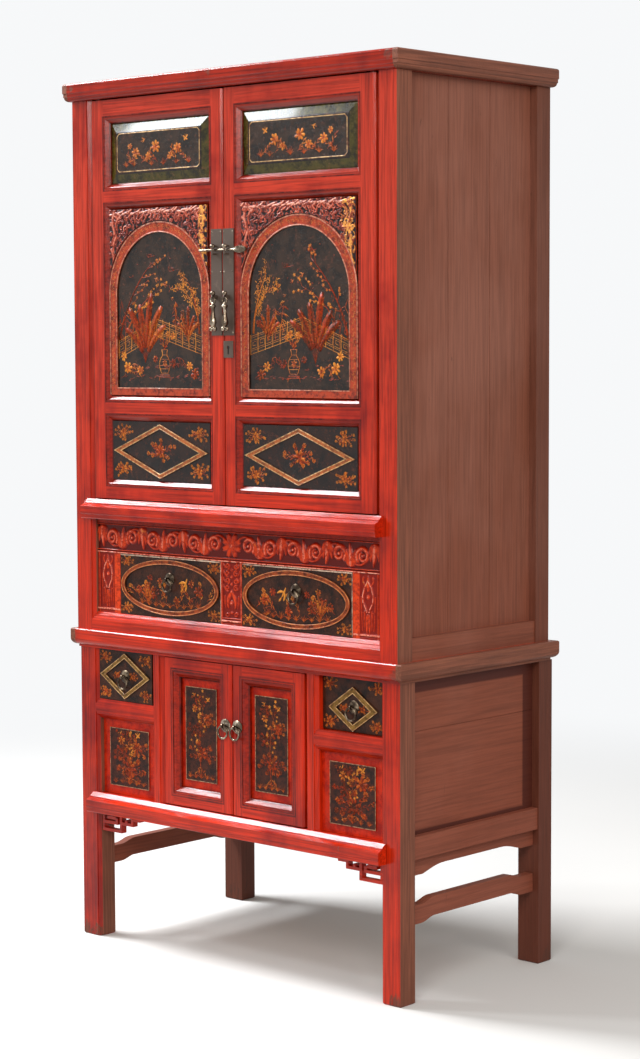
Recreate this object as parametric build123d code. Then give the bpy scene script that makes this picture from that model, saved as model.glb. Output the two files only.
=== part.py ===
"""Two-stage wedding cabinet: a tall upper case on a low lower case with legs.

The upper case has two framed and panelled doors over two wide drawers; the lower case has two
small doors between two small drawers and two fixed panels. Millimetres, +Z up, front towards -Y.
The origin is at the bottom centre of the box that encloses the cabinet.
"""

import os

from build123d import *

# ---------------------------------------------------------------- overall sizes
WIDTH = 914.0  # over the posts of either case
HEIGHT = 1850.0  # floor to cornice top
UPPER_DEPTH = 483.0  # over the posts of the upper case
LOWER_DEEPER = 5.0  # the lower case is this much deeper over its legs
LOWER_DEPTH = UPPER_DEPTH + LOWER_DEEPER
LOWER_SETBACK = 8.0  # lower legs stand this far behind the upper posts
WAIST_TOP = 677.0  # top of the lower case, where the upper case stands
CORNICE_TALL = 38.0
WAIST_TALL = 40.0
CORNICE_OUT = 15.0  # overhang at the front and both ends
CORNICE_BACK_OUT = 10.0
WAIST_OUT = 16.0  # overhang beyond the lower legs at the front and both ends
WAIST_BACK_OUT = 4.0
FRAME_MEMBER = 82.0  # plan width of the cornice and waist members
LEDGE_OUT = 24.0  # how far the two ledge mouldings stand out
LEDGE_LAP = 16.0  # how far a ledge laps over each post
PAST = 1.0  # how far a cutting shape runs past what it cuts

# ---------------------------------------------------------------- framing timber
POST_W = 53.0
POST_D = 44.0
POST_BEVEL = 8.0  # moulded inner front edge of each post
RAIL_D = 44.0
BACK_RAIL_D = 28.0
BACK_RAIL_SET = 5.0  # back rails lie this far inside the back plane
TENON = 22.0
TENON_GAP = 0.15
FOOT_CHAMFER = 5.0

# ---------------------------------------------------------------- levels, from the floor up
STRETCHER_LOW = 152.0
STRETCHER_TALL = 38.0
STRETCHER_HUMP = 9.0
APRON_LOW = 250.0
APRON_ARCH = 13.0
SIDE_RAIL_LOW = 285.0
SIDE_RAIL_TALL = 45.0
LEDGE_TALL = 41.0
LOWER_LEDGE_LOW = 279.0
DRAWER_RAIL_LOW = 483.0
DRAWER_RAIL_TALL = 43.0
SILL_TALL = 40.0
FRIEZE_LOW = 847.0
LEDGE_LOW = 921.0
SHELF_TOP = 1400.0

# ---------------------------------------------------------------- doors
DOOR_T = 24.0
DOOR_SET = 1.0  # door faces lie this far behind the posts' faces
DOOR_GAP = 2.5
DOOR_SIDE_GAP = 3.5
DOOR_EDGE_CHAMFER = 4.0
MEETING_X = -8.0  # the two upper doors meet a little left of centre
UPPER_STILE = 38.5  # outer stile
MEETING_STILE = 33.0
UPPER_TOP_RAIL = 36.0
UPPER_BOTTOM_RAIL = 28.0
UPPER_MID_RAIL = 28.0
TOP_PANEL_TALL = 154.0  # over its moulding, as the next
DIAMOND_PANEL_TALL = 152.0
LOWER_STILE = 29.0
LOWER_TOP_RAIL = 28.0
LOWER_BOTTOM_RAIL = 25.0
PIVOT_R = 6.0
PIVOT_LEN = 14.0
PIVOT_IN = 13.0  # pivot axis from the leaf's outer edge
PIVOT_GAP = 0.08
SOCKET_FLOOR_GAP = 0.3

# ---------------------------------------------------------------- door mouldings and panels
QUIRK = 1.5  # first step down from the frame's face
BEAD_W = 4.5
BEVEL_W = 9.0
BEVEL_DEEP = 8.0
TONGUE = 6.0
TONGUE_T = 5.0
TONGUE_GAP = 0.2
PANEL_BACK = 20.0  # back of an upper door's panels, from the door's face
LOWER_PANEL_BACK = 21.0
FIELD_DEEP = 8.0  # field of the carved panels, from the door's face
LOWER_FIELD_DEEP = 15.0
TOP_FIELD_DEEP = 6.0
TOP_BEVEL_W = 21.0
TOP_BEVEL_DEEP = 7.0
ARCH_BAND = 23.0
ARCH_HEAD_ROOM = 28.0  # from the top of the opening to the top of the band
ARCH_SIDE = 19.0
ARCH_SHARE = 0.8  # the arch takes at most this share of its height
ARCH_FOOT = 16.0
ARCH_RAISE = 3.0
SPANDREL_RAISE = 3.0
DIAMOND_BAND = 9.0
DIAMOND_RAISE = 3.5
DIAMOND_CLEAR = 5.0
INSET_MARGIN = 16.0  # red margin above and below a lower door's painted inset
INSET_SIDE = 11.0  # and beside it
FIXED_MARGIN = 17.5  # red margin above and below a fixed panel's painted inset
FIXED_SIDE = 21.5  # and beside it
FIXED_SET = 16.0  # fixed panels lie this far behind the legs' faces
INSET_RAISE = 2.5

# ---------------------------------------------------------------- drawers and carved surround
SURROUND_SET = 10.0
SURROUND_T = 18.0
CARVED_STRIP = 71.0
CARVED_DIVIDER = 58.0
FRONT_T = 20.0
FRONT_GAP = 1.2
OVAL_BAND = 10.0
OVAL_CLEAR = 5.0
OVAL_RAISE = 3.5
BOX_WALL = 10.0
BOX_BOTTOM = 6.0
BOX_DEEP = 372.0
BOX_DROP = 22.0  # drawer sides stop this far below the top of the front
GUIDE_GAP = 1.0
RUN_GAP = 0.5
RUNNER_W = 26.0
RUNNER_T = 14.0
GUIDE_UP = 12.0
DIVIDER_W = 34.0
DIVIDER_IN = 204.5  # centre line to the near face of a lower divider
DIVIDER_D = 36.0
# The left small drawer is nearly flush and the right one lies deep: side -1 is left, 1 is right.
SMALL_SET = {-1: 4.5, 1: 18.0}
SMALL_CLEAR = {-1: 5.0, 1: 17.0}  # beside the lozenge
SMALL_CLEAR_TOP = {-1: 5.0, 1: 18.0}
SMALL_CLEAR_LOW = {-1: 5.0, 1: 1.5}
SMALL_BAND = {-1: 9.0, 1: 11.0}

# ---------------------------------------------------------------- boards
SIDE_SET = 18.0  # side panels lie this far inside the side plane
SIDE_T = 10.0
SEAM_W = 1.6
SEAM_DEEP = 1.2
SIDE_RAIL_SET = 3.0
SIDE_RAIL_T = 30.0
APRON_T = 14.0
STRETCHER_T = 20.0
BACK_T = 8.0
BACK_SET = 14.0
BOARD_T = 14.0
BOARD_GAP = 0.4
BEARER_T = 22.0
PANEL_SUNK = 3.0  # top boards lie this far below their frames
PANEL_T = 14.0
GROOVE = 8.0

# ---------------------------------------------------------------- fret brackets
FRET_LONG = 118.0
FRET_TALL = 44.0
FRET_BAR = 6.5
FRET_T = 14.0
FRET_SET = 9.0

# ---------------------------------------------------------------- metalwork
PLATE_T = 1.8
PLATE_W = 30.0
PLATE_TALL = 216.0
PLATE_TOP = 1527.0
PLATE_INSET = 0.6
PIN_Z = 1484.0
PIN_R = 2.5
PIN_LEFT = -67.0
PIN_RIGHT = 34.0
PIN_HEAD = 29.0
PIN_OFF = 6.2  # pin axis from the plate's face
STAPLE_R = 2.0
STAPLE_HALF = 8.0
STAPLE_GAP = 0.8
PULL_Z = 1389.0
PULL_LONG = 64.0
PULL_R = 10.0
PULL_OFF = 10.8  # pull axis from the plate's face
PULL_RING_R = 6.0
PULL_RING_WIRE = 1.6
LUG_WALL = 2.2
LUG_T = 3.0
LUG_PLAY = 0.5
ESCUTCHEON_W = 27.0
ESCUTCHEON_TALL = 34.0
ESCUTCHEON_Z = 1283.0
KEY_R = 3.6
KEY_SLOT = 10.0
ROSETTE_R = 14.0
ROSETTE_RIM = 1.2
ROSETTE_DOME = 4.6
RING_R = 13.0
RING_WIRE = 2.2
RING_OFF = 9.6
LOWER_PULL_Z = 507.0
LOWER_PULL_IN = 17.0
UPPER_PULL_Z = 800.0
SMALL_PULL_Z = {-1: 581.0, 1: 577.0}

# ---------------------------------------------------------------- planes and levels worked out
HALF = WIDTH / 2
INNER = HALF - POST_W
LOWER_BACK_EXTRA = LOWER_SETBACK + LOWER_DEPTH - UPPER_DEPTH + WAIST_BACK_OUT
TOTAL_DEPTH = LEDGE_OUT + UPPER_DEPTH + LOWER_BACK_EXTRA
UPPER_FRONT = -TOTAL_DEPTH / 2 + LEDGE_OUT
UPPER_BACK = UPPER_FRONT + UPPER_DEPTH
LOWER_FRONT = UPPER_FRONT + LOWER_SETBACK
LOWER_BACK = LOWER_FRONT + LOWER_DEPTH
CORNICE_LOW = HEIGHT - CORNICE_TALL
WAIST_LOW = WAIST_TOP - WAIST_TALL
LOWER_LEDGE_TOP = LOWER_LEDGE_LOW + LEDGE_TALL
LEDGE_TOP = LEDGE_LOW + LEDGE_TALL
SILL_TOP = WAIST_TOP + SILL_TALL
DRAWER_SILL = DRAWER_RAIL_LOW + DRAWER_RAIL_TALL
SIDE_RAIL_TOP = SIDE_RAIL_LOW + SIDE_RAIL_TALL
MOULDING = BEAD_W + BEVEL_W
SIDE_IN = HALF - SIDE_SET - SIDE_T
UPPER = {"front": UPPER_FRONT, "back": UPPER_BACK}
LOWER = {"front": LOWER_FRONT, "back": LOWER_BACK}


# ---------------------------------------------------------------- shape helpers
def block(x, y, z):
    """Box between the low and high values of x, y and z."""
    size = Box(x[1] - x[0], y[1] - y[0], z[1] - z[0])
    return Pos((x[0] + x[1]) / 2, (y[0] + y[1]) / 2, (z[0] + z[1]) / 2) * size


def outline(points):
    """Closed face through the points of a polygon."""
    return make_face(Polyline(*points, close=True))


def prism_x(face, x):
    """Face drawn in (y, z), carried along X."""
    return extrude(Plane.YZ.offset(x[0]) * face, amount=x[1] - x[0])


def prism_y(face, y):
    """Face drawn in (x, z), carried along Y."""
    return extrude(Plane.XZ.offset(-y[1]) * face, amount=y[1] - y[0])


def prism_z(face, z):
    """Face drawn in (x, y), carried along Z."""
    return extrude(Plane.XY.offset(z[0]) * face, amount=z[1] - z[0])


def frustum(x, z, y, inset):
    """Rectangle x by z at y[0], drawn in by inset on every side at y[1]."""
    middle = (x[0] + x[1]) / 2, (z[0] + z[1]) / 2
    wide, tall = x[1] - x[0], z[1] - z[0]
    faces = []
    for place, step in zip(y, (0, inset)):
        plane = Plane(origin=(middle[0], place, middle[1]), x_dir=(1, 0, 0), z_dir=(0, -1, 0))
        faces.append(plane * Rectangle(wide - 2 * step, tall - 2 * step))
    return loft(faces, ruled=True)


def grown(span, amount):
    """Span of two numbers made longer at both ends, or shorter for a negative amount."""
    return (span[0] - amount, span[1] + amount)


def cylinder_x(x, y, z, radius):
    """Round bar along X."""
    return Pos((x[0] + x[1]) / 2, y, z) * Rot(0, 90, 0) * Cylinder(radius, x[1] - x[0])


def cylinder_y(x, y, z, radius):
    """Round bar along Y."""
    return Pos(x, (y[0] + y[1]) / 2, z) * Rot(90, 0, 0) * Cylinder(radius, y[1] - y[0])


def cylinder_z(x, y, z, radius):
    """Round bar along Z."""
    return Pos(x, y, (z[0] + z[1]) / 2) * Cylinder(radius, z[1] - z[0])


def flip(part):
    """Mirror image across the cabinet's centre plane."""
    return mirror(part, about=Plane.YZ)


def pair(part):
    """The part and its mirror image."""
    return [part, flip(part)]


def solids_of(items):
    """Flat list of the solids in parts, compounds and lists of them."""
    found = []
    for item in items if isinstance(items, (list, tuple)) else [items]:
        found += solids_of(item) if isinstance(item, (list, tuple)) else list(item.solids())
    return found


def save(name, *items):
    """Write one node: each solid stays a separate solid."""
    solids = solids_of(list(items))
    shape = solids[0] if len(solids) == 1 else Compound(children=solids)
    export_step(shape, f"parts/{name}.step")


# ---------------------------------------------------------------- posts and legs
def post_face(front):
    """Plan of the right front post, with its moulded inner front edge."""
    return outline(
        [
            (INNER, front + POST_D),
            (INNER, front + POST_BEVEL),
            (INNER + POST_BEVEL - QUIRK, front + QUIRK),
            (INNER + POST_BEVEL, front + QUIRK),
            (INNER + POST_BEVEL, front),
            (HALF, front),
            (HALF, front + POST_D),
        ]
    )


def side_tenon(z, x, y, gap=0.0):
    """Tenon of a side member, reaching into the front and back posts."""
    middle = (x[0] + x[1]) / 2
    third = (x[1] - x[0]) / 6
    return block(grown((middle - third, middle + third), gap), grown(y, TENON + gap), grown(z, gap))


def front_tenon(z, y, gap=0.0):
    """Tenon of a front or back rail, reaching into the posts at both ends."""
    return block(grown((-INNER, INNER), TENON + gap), grown(y, gap), grown(z, gap))


def between_posts(case):
    """Clear span in Y between the front and back posts of a case."""
    return (case["front"] + POST_D, case["back"] - POST_D)


def side_panel_blank(case, z):
    """Side panel with the tongues that lie in the grooves of the posts."""
    return block((SIDE_IN, SIDE_IN + SIDE_T), grown(between_posts(case), TONGUE), z)


def panel_groove(case, z):
    """Room that a side panel takes from the posts."""
    x = grown((SIDE_IN, SIDE_IN + SIDE_T), TONGUE_GAP)
    return block(x, grown(between_posts(case), TONGUE + TONGUE_GAP), grown(z, TONGUE_GAP))


def back_panel_span(case):
    """Y span of a back panel."""
    return (case["back"] - BACK_SET - BACK_T, case["back"] - BACK_SET)


def back_groove(case, z):
    """Room that a back panel takes from the posts."""
    x = grown((-INNER, INNER), TONGUE + TONGUE_GAP)
    return block(x, grown(back_panel_span(case), TONGUE_GAP), grown(z, TONGUE_GAP))


def back_rail_span(case):
    """Y span of a back rail."""
    return (case["back"] - BACK_RAIL_SET - BACK_RAIL_D, case["back"] - BACK_RAIL_SET)


UPPER_PANEL_Z = (WAIST_TOP + SIDE_RAIL_TALL, CORNICE_LOW)
LOWER_PANEL_Z = (SIDE_RAIL_TOP, WAIST_LOW)
UPPER_RAIL_Z = (WAIST_TOP, WAIST_TOP + SIDE_RAIL_TALL)
LOWER_RAIL_Z = (SIDE_RAIL_LOW, SIDE_RAIL_TOP)
RAIL_X = (HALF - SIDE_RAIL_SET - SIDE_RAIL_T, HALF - SIDE_RAIL_SET)
APRON_X = (HALF - SIDE_SET + SIDE_RAIL_SET - APRON_T, HALF - SIDE_SET + SIDE_RAIL_SET)
STRETCHER_X = (HALF - SIDE_SET + SIDE_RAIL_SET - STRETCHER_T, HALF - SIDE_SET + SIDE_RAIL_SET)
STRETCHER_Z = (STRETCHER_LOW, STRETCHER_LOW + STRETCHER_TALL)
BEARER_X = (INNER, SIDE_IN)
DECK_Z = (LEDGE_TOP - BOARD_T - PANEL_SUNK, LEDGE_TOP - PANEL_SUNK)
SHELF_Z = (SHELF_TOP - BOARD_T, SHELF_TOP)
FLOOR_Z = (LOWER_LEDGE_TOP - BOARD_T - PANEL_SUNK, LOWER_LEDGE_TOP - PANEL_SUNK)


def mid_part(z):
    """Middle two thirds of a height, where tenons lie."""
    sixth = (z[1] - z[0]) / 6
    return (z[0] + sixth, z[1] - sixth)


def rail_tenon_y(case):
    """Y span of the tenon of a front rail."""
    return (case["front"] + RAIL_D / 3, case["front"] + RAIL_D * 2 / 3)


def back_tenon_y(case):
    """Y span of the tenon of a back rail."""
    low = back_rail_span(case)[0]
    return (low + TONGUE, low + TONGUE * 2)


def upper_posts():
    """Upper posts: moulded at the front, grooved for the panels, mortised for the rails."""
    z = (WAIST_TOP, CORNICE_LOW)
    front = prism_z(post_face(UPPER_FRONT), z)
    rear = block((INNER, HALF), (UPPER_BACK - POST_D, UPPER_BACK), z)
    mortises = side_tenon(mid_part(UPPER_RAIL_Z), RAIL_X, between_posts(UPPER), TENON_GAP)
    groove = panel_groove(UPPER, UPPER_PANEL_Z)
    front = front - mortises - groove
    for level in ((LEDGE_LOW, LEDGE_TOP), (WAIST_TOP, SILL_TOP)):
        front = front - front_tenon(mid_part(level), rail_tenon_y(UPPER), TENON_GAP)
    rear = rear - mortises - groove - back_groove(UPPER, UPPER_PANEL_Z)
    rear = rear - front_tenon(mid_part(UPPER_RAIL_Z), back_tenon_y(UPPER), TENON_GAP)
    return pair(front), pair(rear)


def legs():
    """Lower legs, with their feet eased all round."""
    z = (0, WAIST_LOW)
    front = prism_z(post_face(LOWER_FRONT), z)
    rear = block((INNER, HALF), (LOWER_BACK - POST_D, LOWER_BACK), z)
    sides = between_posts(LOWER)
    cuts = side_tenon(mid_part(LOWER_RAIL_Z), RAIL_X, sides, TENON_GAP)
    cuts += side_tenon(mid_part(STRETCHER_Z), STRETCHER_X, sides, TENON_GAP)
    cuts += panel_groove(LOWER, LOWER_PANEL_Z)
    front = front - cuts
    front = front - front_tenon(
        mid_part((LOWER_LEDGE_LOW, LOWER_LEDGE_TOP)), rail_tenon_y(LOWER), TENON_GAP
    )
    drawer_level = mid_part((DRAWER_RAIL_LOW, DRAWER_SILL))
    front = front - front_tenon(drawer_level, rail_tenon_y(LOWER), TENON_GAP)
    rear = rear - cuts - back_groove(LOWER, LOWER_PANEL_Z)
    rear = rear - front_tenon(mid_part(LOWER_RAIL_Z), back_tenon_y(LOWER), TENON_GAP)
    eased = []
    for leg in (front, rear):
        eased.append(chamfer(leg.edges().group_by(Axis.Z)[0], FOOT_CHAMFER / 2, FOOT_CHAMFER / 2))
    return pair(eased[0]), pair(eased[1])


# ---------------------------------------------------------------- cornice and waist frames
def cornice_face(inner):
    """Cornice section in (outward, z): eased top, two quirks and a rounded lower edge."""
    out, top, low = CORNICE_OUT, HEIGHT, CORNICE_LOW
    ease, tuck = 5.0, 8.0
    edge = out - QUIRK
    lines = [
        Line((inner, low), (inner, top)),
        Line((inner, top), (out - ease, top)),
        ThreePointArc(
            (out - ease, top), (out - ease * 0.293, top - ease * 0.293), (out, top - ease)
        ),
        Line((out, top - ease), (out, low + tuck * 2 + QUIRK)),
        Line((out, low + tuck * 2 + QUIRK), (edge, low + tuck * 2)),
        Line((edge, low + tuck * 2), (edge, low + tuck + QUIRK)),
        Line((edge, low + tuck + QUIRK), (edge - QUIRK, low + tuck)),
        ThreePointArc(
            (edge - QUIRK, low + tuck),
            (edge - QUIRK - tuck * 0.293, low + tuck * 0.293),
            (edge - QUIRK - tuck, low),
        ),
        Line((edge - QUIRK - tuck, low), (inner, low)),
    ]
    return make_face(lines)


def waist_face(inner):
    """Waist section in (outward, z): sharp top edge and a quarter round tucked in below."""
    out, top, low = WAIST_OUT, WAIST_TOP, WAIST_LOW
    ease, tuck, fillet_band = 2.0, 13.0, 5.0
    start = low + fillet_band + tuck
    lines = [
        Line((inner, low), (inner, top)),
        Line((inner, top), (out - ease, top)),
        Line((out - ease, top), (out, top - ease)),
        Line((out, top - ease), (out, start)),
        ThreePointArc(
            (out, start), (out - tuck * 0.293, start - tuck * 0.707), (out - tuck, start - tuck)
        ),
        Line((out - tuck, start - tuck), (out - tuck, low)),
        Line((out - tuck, low), (inner, low)),
    ]
    return make_face(lines)


def mitred_frame(section, out, back_out, case, z):
    """Four mitred members around a case: front, back and the two ends."""
    plan_x = (-HALF - out, HALF + out)
    plan_y = (case["front"] - out, case["back"] + back_out)
    inner_x = grown(plan_x, -FRAME_MEMBER)
    inner_y = grown(plan_y, -FRAME_MEMBER)
    depth = FRAME_MEMBER - out
    tall = grown(z, PAST)
    bar = extrude(section(-depth), amount=WIDTH / 2 + out + PAST, both=True)
    front_bar = Pos(0, case["front"], 0) * Rot(0, 0, -90) * Rot(90, 0, 0) * bar
    back_bar = Pos(0, case["back"] + back_out - out, 0) * Rot(0, 0, 90) * Rot(90, 0, 0) * bar
    end_bar = Pos(HALF, 0, 0) * Rot(90, 0, 0) * bar
    front_mask = outline(
        [
            (plan_x[0], plan_y[0]),
            (plan_x[1], plan_y[0]),
            (inner_x[1], inner_y[0]),
            (inner_x[0], inner_y[0]),
        ]
    )
    back_mask = outline(
        [
            (plan_x[0], plan_y[1]),
            (plan_x[1], plan_y[1]),
            (inner_x[1], inner_y[1]),
            (inner_x[0], inner_y[1]),
        ]
    )
    end_mask = outline(
        [
            (plan_x[1], plan_y[0]),
            (plan_x[1], plan_y[1]),
            (inner_x[1], inner_y[1]),
            (inner_x[1], inner_y[0]),
        ]
    )
    front = front_bar & prism_z(front_mask, tall)
    back = back_bar & prism_z(back_mask, tall)
    end = end_bar & prism_z(end_mask, tall)
    return front, back, end, (inner_x, inner_y)


def frame_panel(opening, top):
    """Board let into a frame's groove a little below its top, and the groove's room."""
    z = (top - PANEL_SUNK - PANEL_T, top - PANEL_SUNK)
    body = block(grown(opening[0], -BOARD_GAP), grown(opening[1], -BOARD_GAP), z)
    middle = (z[0] + PANEL_T / 4, z[1] - PANEL_T / 4)
    board = body + block(grown(opening[0], GROOVE), grown(opening[1], GROOVE), middle)
    room_x = grown(opening[0], GROOVE + TONGUE_GAP)
    room = block(room_x, grown(opening[1], GROOVE + TONGUE_GAP), grown(middle, TONGUE_GAP))
    return board, room


# ---------------------------------------------------------------- rails across the front
def ledge_section(front, low):
    """Ledge moulding in (y, z): rail behind, sloping top in two steps, quirked face."""
    top = low + LEDGE_TALL
    nose = front - LEDGE_OUT
    slope, step = 15.0, 2.0
    return outline(
        [
            (front + RAIL_D, low),
            (front + RAIL_D, top),
            (front - 2 * QUIRK, top),
            (front - LEDGE_OUT / 2, top - slope / 2),
            (front - LEDGE_OUT / 2, top - slope / 2 - step),
            (nose, top - slope),
            (nose, low + BEVEL_W + QUIRK),
            (nose + QUIRK, low + BEVEL_W),
            (nose + QUIRK, low + QUIRK),
            (nose + 2 * QUIRK, low),
        ]
    )


def ledge_rail(case, low):
    """Rail between the posts with the ledge moulding lapping over their faces."""
    reach = INNER + LEDGE_LAP
    solid = prism_x(ledge_section(case["front"], low), (-reach, reach))
    for side in (-1, 1):
        x = sorted((side * INNER, side * (reach + PAST)))
        y = (case["front"], case["front"] + RAIL_D + PAST)
        solid = solid - block(x, y, grown((low, low + LEDGE_TALL), PAST))
    wedge = post_wedge(case["front"], INNER, (low, low + LEDGE_TALL))
    solid = solid + pair(wedge)
    return solid + front_tenon(mid_part((low, low + LEDGE_TALL)), rail_tenon_y(case))


def post_wedge(front, inner, z):
    """Sliver of a rail that fills the moulded edge of the member beside it."""
    points = [
        (inner - PAST, front),
        (inner + POST_BEVEL, front),
        (inner + POST_BEVEL, front + QUIRK),
        (inner + POST_BEVEL - QUIRK, front + QUIRK),
        (inner, front + POST_BEVEL),
        (inner - PAST, front + POST_BEVEL),
    ]
    return prism_z(outline(points), z)


def sill_section(front, low, top):
    """Sill rail in (y, z) with the sloping top that leads back to the drawers."""
    slope = 17.0
    return outline(
        [
            (front, low),
            (front + RAIL_D, low),
            (front + RAIL_D, top),
            (front + SURROUND_SET, top),
            (front + SURROUND_SET / 2, top - slope / 2 + QUIRK),
            (front + SURROUND_SET / 2, top - slope / 2),
            (front, top - slope),
        ]
    )


def sill_rail():
    """Rail under the wide drawers, standing on the lower case."""
    z = (WAIST_TOP, SILL_TOP)
    face = sill_section(UPPER_FRONT, *z)
    long_bar = prism_x(face, grown((-INNER, INNER), POST_BEVEL + PAST))
    rail_y = (UPPER_FRONT, UPPER_FRONT + RAIL_D)
    plain = block((-INNER, INNER), grown(rail_y, PAST), grown(z, PAST))
    wedges = pair(post_wedge(UPPER_FRONT, INNER, z))
    solid = long_bar & (plain + wedges[0] + wedges[1])
    return solid + front_tenon(mid_part(z), rail_tenon_y(UPPER))


def drawer_rail_section(front, low, top):
    """Small drawer rail in (y, z): sloping top, flat face, bead and bevel below."""
    slope = 12.0
    return outline(
        [
            (front + QUIRK + BEVEL_DEEP, low),
            (front + RAIL_D, low),
            (front + RAIL_D, top),
            (front + SURROUND_SET / 2, top),
            (front, top - slope),
            (front, low + MOULDING),
            (front + QUIRK, low + MOULDING - QUIRK / 3),
            (front + QUIRK, low + BEVEL_W),
        ]
    )


def drawer_rail():
    """Right-hand rail under a small drawer, from the divider to the leg."""
    z = (DRAWER_RAIL_LOW, DRAWER_SILL)
    x = (DIVIDER_IN + DIVIDER_W, INNER)
    face = drawer_rail_section(LOWER_FRONT, *z)
    long_bar = prism_x(face, grown(x, POST_BEVEL + PAST))
    room = block(x, grown((LOWER_FRONT, LOWER_FRONT + RAIL_D), PAST), grown(z, PAST))
    room += post_wedge(LOWER_FRONT, INNER, z)
    room += flip(post_wedge(LOWER_FRONT, -x[0], z))
    tenon_x = (x[0] - TENON / 2, INNER + TENON)
    return (long_bar & room) + block(tenon_x, rail_tenon_y(LOWER), mid_part(z))


def lower_divider():
    """Right-hand divider between the small doors and the side bay."""
    near, far = DIVIDER_IN, DIVIDER_IN + DIVIDER_W
    front = LOWER_FRONT
    face = outline(
        [
            (near, front + DIVIDER_D),
            (near, front + POST_BEVEL),
            (near + POST_BEVEL - QUIRK, front + QUIRK),
            (near + POST_BEVEL, front + QUIRK),
            (near + POST_BEVEL, front),
            (far - POST_BEVEL, front),
            (far - POST_BEVEL, front + QUIRK),
            (far - POST_BEVEL + QUIRK, front + QUIRK),
            (far, front + POST_BEVEL),
            (far, front + DIVIDER_D),
        ]
    )
    solid = prism_z(face, (LOWER_LEDGE_TOP, WAIST_LOW))
    z = mid_part((DRAWER_RAIL_LOW, DRAWER_SILL))
    mortise_x = (far - TENON / 2 - TENON_GAP, far + PAST)
    return solid - block(mortise_x, grown(rail_tenon_y(LOWER), TENON_GAP), grown(z, TENON_GAP))


# ---------------------------------------------------------------- sides, back and boards
def side_rails():
    """Bottom rails of both sides of both cases."""
    rails = []
    for case, z in ((UPPER, UPPER_RAIL_Z), (LOWER, LOWER_RAIL_Z)):
        span = between_posts(case)
        rails += pair(block(RAIL_X, span, z) + side_tenon(mid_part(z), RAIL_X, span))
    return rails


def vertical_seams(case, z, count):
    """Grooves that part a side panel into upright boards."""
    span = between_posts(case)
    pitch = (span[1] - span[0]) / count
    face = SIDE_IN + SIDE_T
    cuts = []
    for seam in range(1, count):
        y = span[0] + seam * pitch
        seam_x = (face - SEAM_DEEP, face + PAST)
        cuts.append(block(seam_x, grown((y, y), SEAM_W / 2), grown(z, PAST)))
    return cuts


def side_panels():
    """Upper side panel of three upright boards and lower one of two level boards."""
    upper = side_panel_blank(UPPER, UPPER_PANEL_Z) - vertical_seams(UPPER, UPPER_PANEL_Z, 3)
    lower = side_panel_blank(LOWER, LOWER_PANEL_Z)
    face = SIDE_IN + SIDE_T
    seam_z = LOWER_PANEL_Z[0] + (LOWER_PANEL_Z[1] - LOWER_PANEL_Z[0]) * 2 / 3
    seam_y = grown(between_posts(LOWER), TONGUE)
    seam_x = (face - SEAM_DEEP, face + PAST)
    seam = block(seam_x, seam_y, grown((seam_z, seam_z), SEAM_W / 2))
    return pair(upper), pair(lower - seam)


def back_panels():
    """Back boards of both cases, tongued into the rear posts."""
    x = grown((-INNER, INNER), TONGUE)
    upper = block(x, back_panel_span(UPPER), UPPER_PANEL_Z)
    lower = block(x, back_panel_span(LOWER), LOWER_PANEL_Z)
    return upper, lower


def back_rails():
    """Bottom back rails of both cases and the ledger that carries the small drawers' runners."""
    rails = []
    for case, z in ((UPPER, UPPER_RAIL_Z), (LOWER, LOWER_RAIL_Z)):
        rail = block((-INNER, INNER), back_rail_span(case), z)
        rails.append(rail + front_tenon(mid_part(z), back_tenon_y(case)))
    ledger_y = (LOWER_BACK - POST_D, back_panel_span(LOWER)[0])
    low = DRAWER_SILL - RUN_GAP - 2 * RUNNER_T
    rails.append(block((-INNER, INNER), ledger_y, (low, DRAWER_SILL - RUN_GAP)))
    return rails


def side_aprons():
    """Apron under each side rail: level in the middle, stepping down to the legs in an ogee."""
    span = between_posts(LOWER)
    drop, top = APRON_LOW, SIDE_RAIL_LOW
    arch = APRON_LOW + APRON_ARCH
    shoulder, sweep = 42.0, 66.0
    lines = [
        Line((span[0], top), (span[0], drop)),
        Line((span[0], drop), (span[0] + shoulder, drop)),
        Spline(
            (span[0] + shoulder, drop),
            (span[0] + shoulder + sweep, arch),
            tangents=((1, 0.25), (1, 0)),
        ),
        Line((span[0] + shoulder + sweep, arch), (span[1] - shoulder - sweep, arch)),
        Spline(
            (span[1] - shoulder - sweep, arch),
            (span[1] - shoulder, drop),
            tangents=((1, 0), (1, -0.25)),
        ),
        Line((span[1] - shoulder, drop), (span[1], drop)),
        Line((span[1], drop), (span[1], top)),
        Line((span[1], top), (span[0], top)),
    ]
    return pair(prism_x(make_face(lines), APRON_X))


def side_stretchers():
    """Humped stretcher between the legs of each side."""
    span = between_posts(LOWER)
    low, high = STRETCHER_Z
    hump, shoulder, sweep = STRETCHER_HUMP, 36.0, 44.0
    start, end = span[0] + shoulder, span[1] - shoulder
    lines = []
    for level in (low, high):
        lines += [
            Line((span[0], level), (start, level)),
            Spline((start, level), (start + sweep, level + hump), tangents=((1, 0), (1, 0))),
            Line((start + sweep, level + hump), (end - sweep, level + hump)),
            Spline((end - sweep, level + hump), (end, level), tangents=((1, 0), (1, 0))),
            Line((end, level), (span[1], level)),
        ]
    lines += [Line((span[0], low), (span[0], high)), Line((span[1], low), (span[1], high))]
    body = prism_x(make_face(lines), STRETCHER_X)
    return pair(body + side_tenon(mid_part(STRETCHER_Z), STRETCHER_X, span))


def notched_board(case, half, z, front, back):
    """Board inside a case, cut around the four posts."""
    clear = between_posts(case)
    wide = block(grown((-half, half), -BOARD_GAP), grown(clear, -BOARD_GAP), z)
    return wide + block(grown((-INNER, INNER), -BOARD_GAP), (front, back), z)


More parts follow.
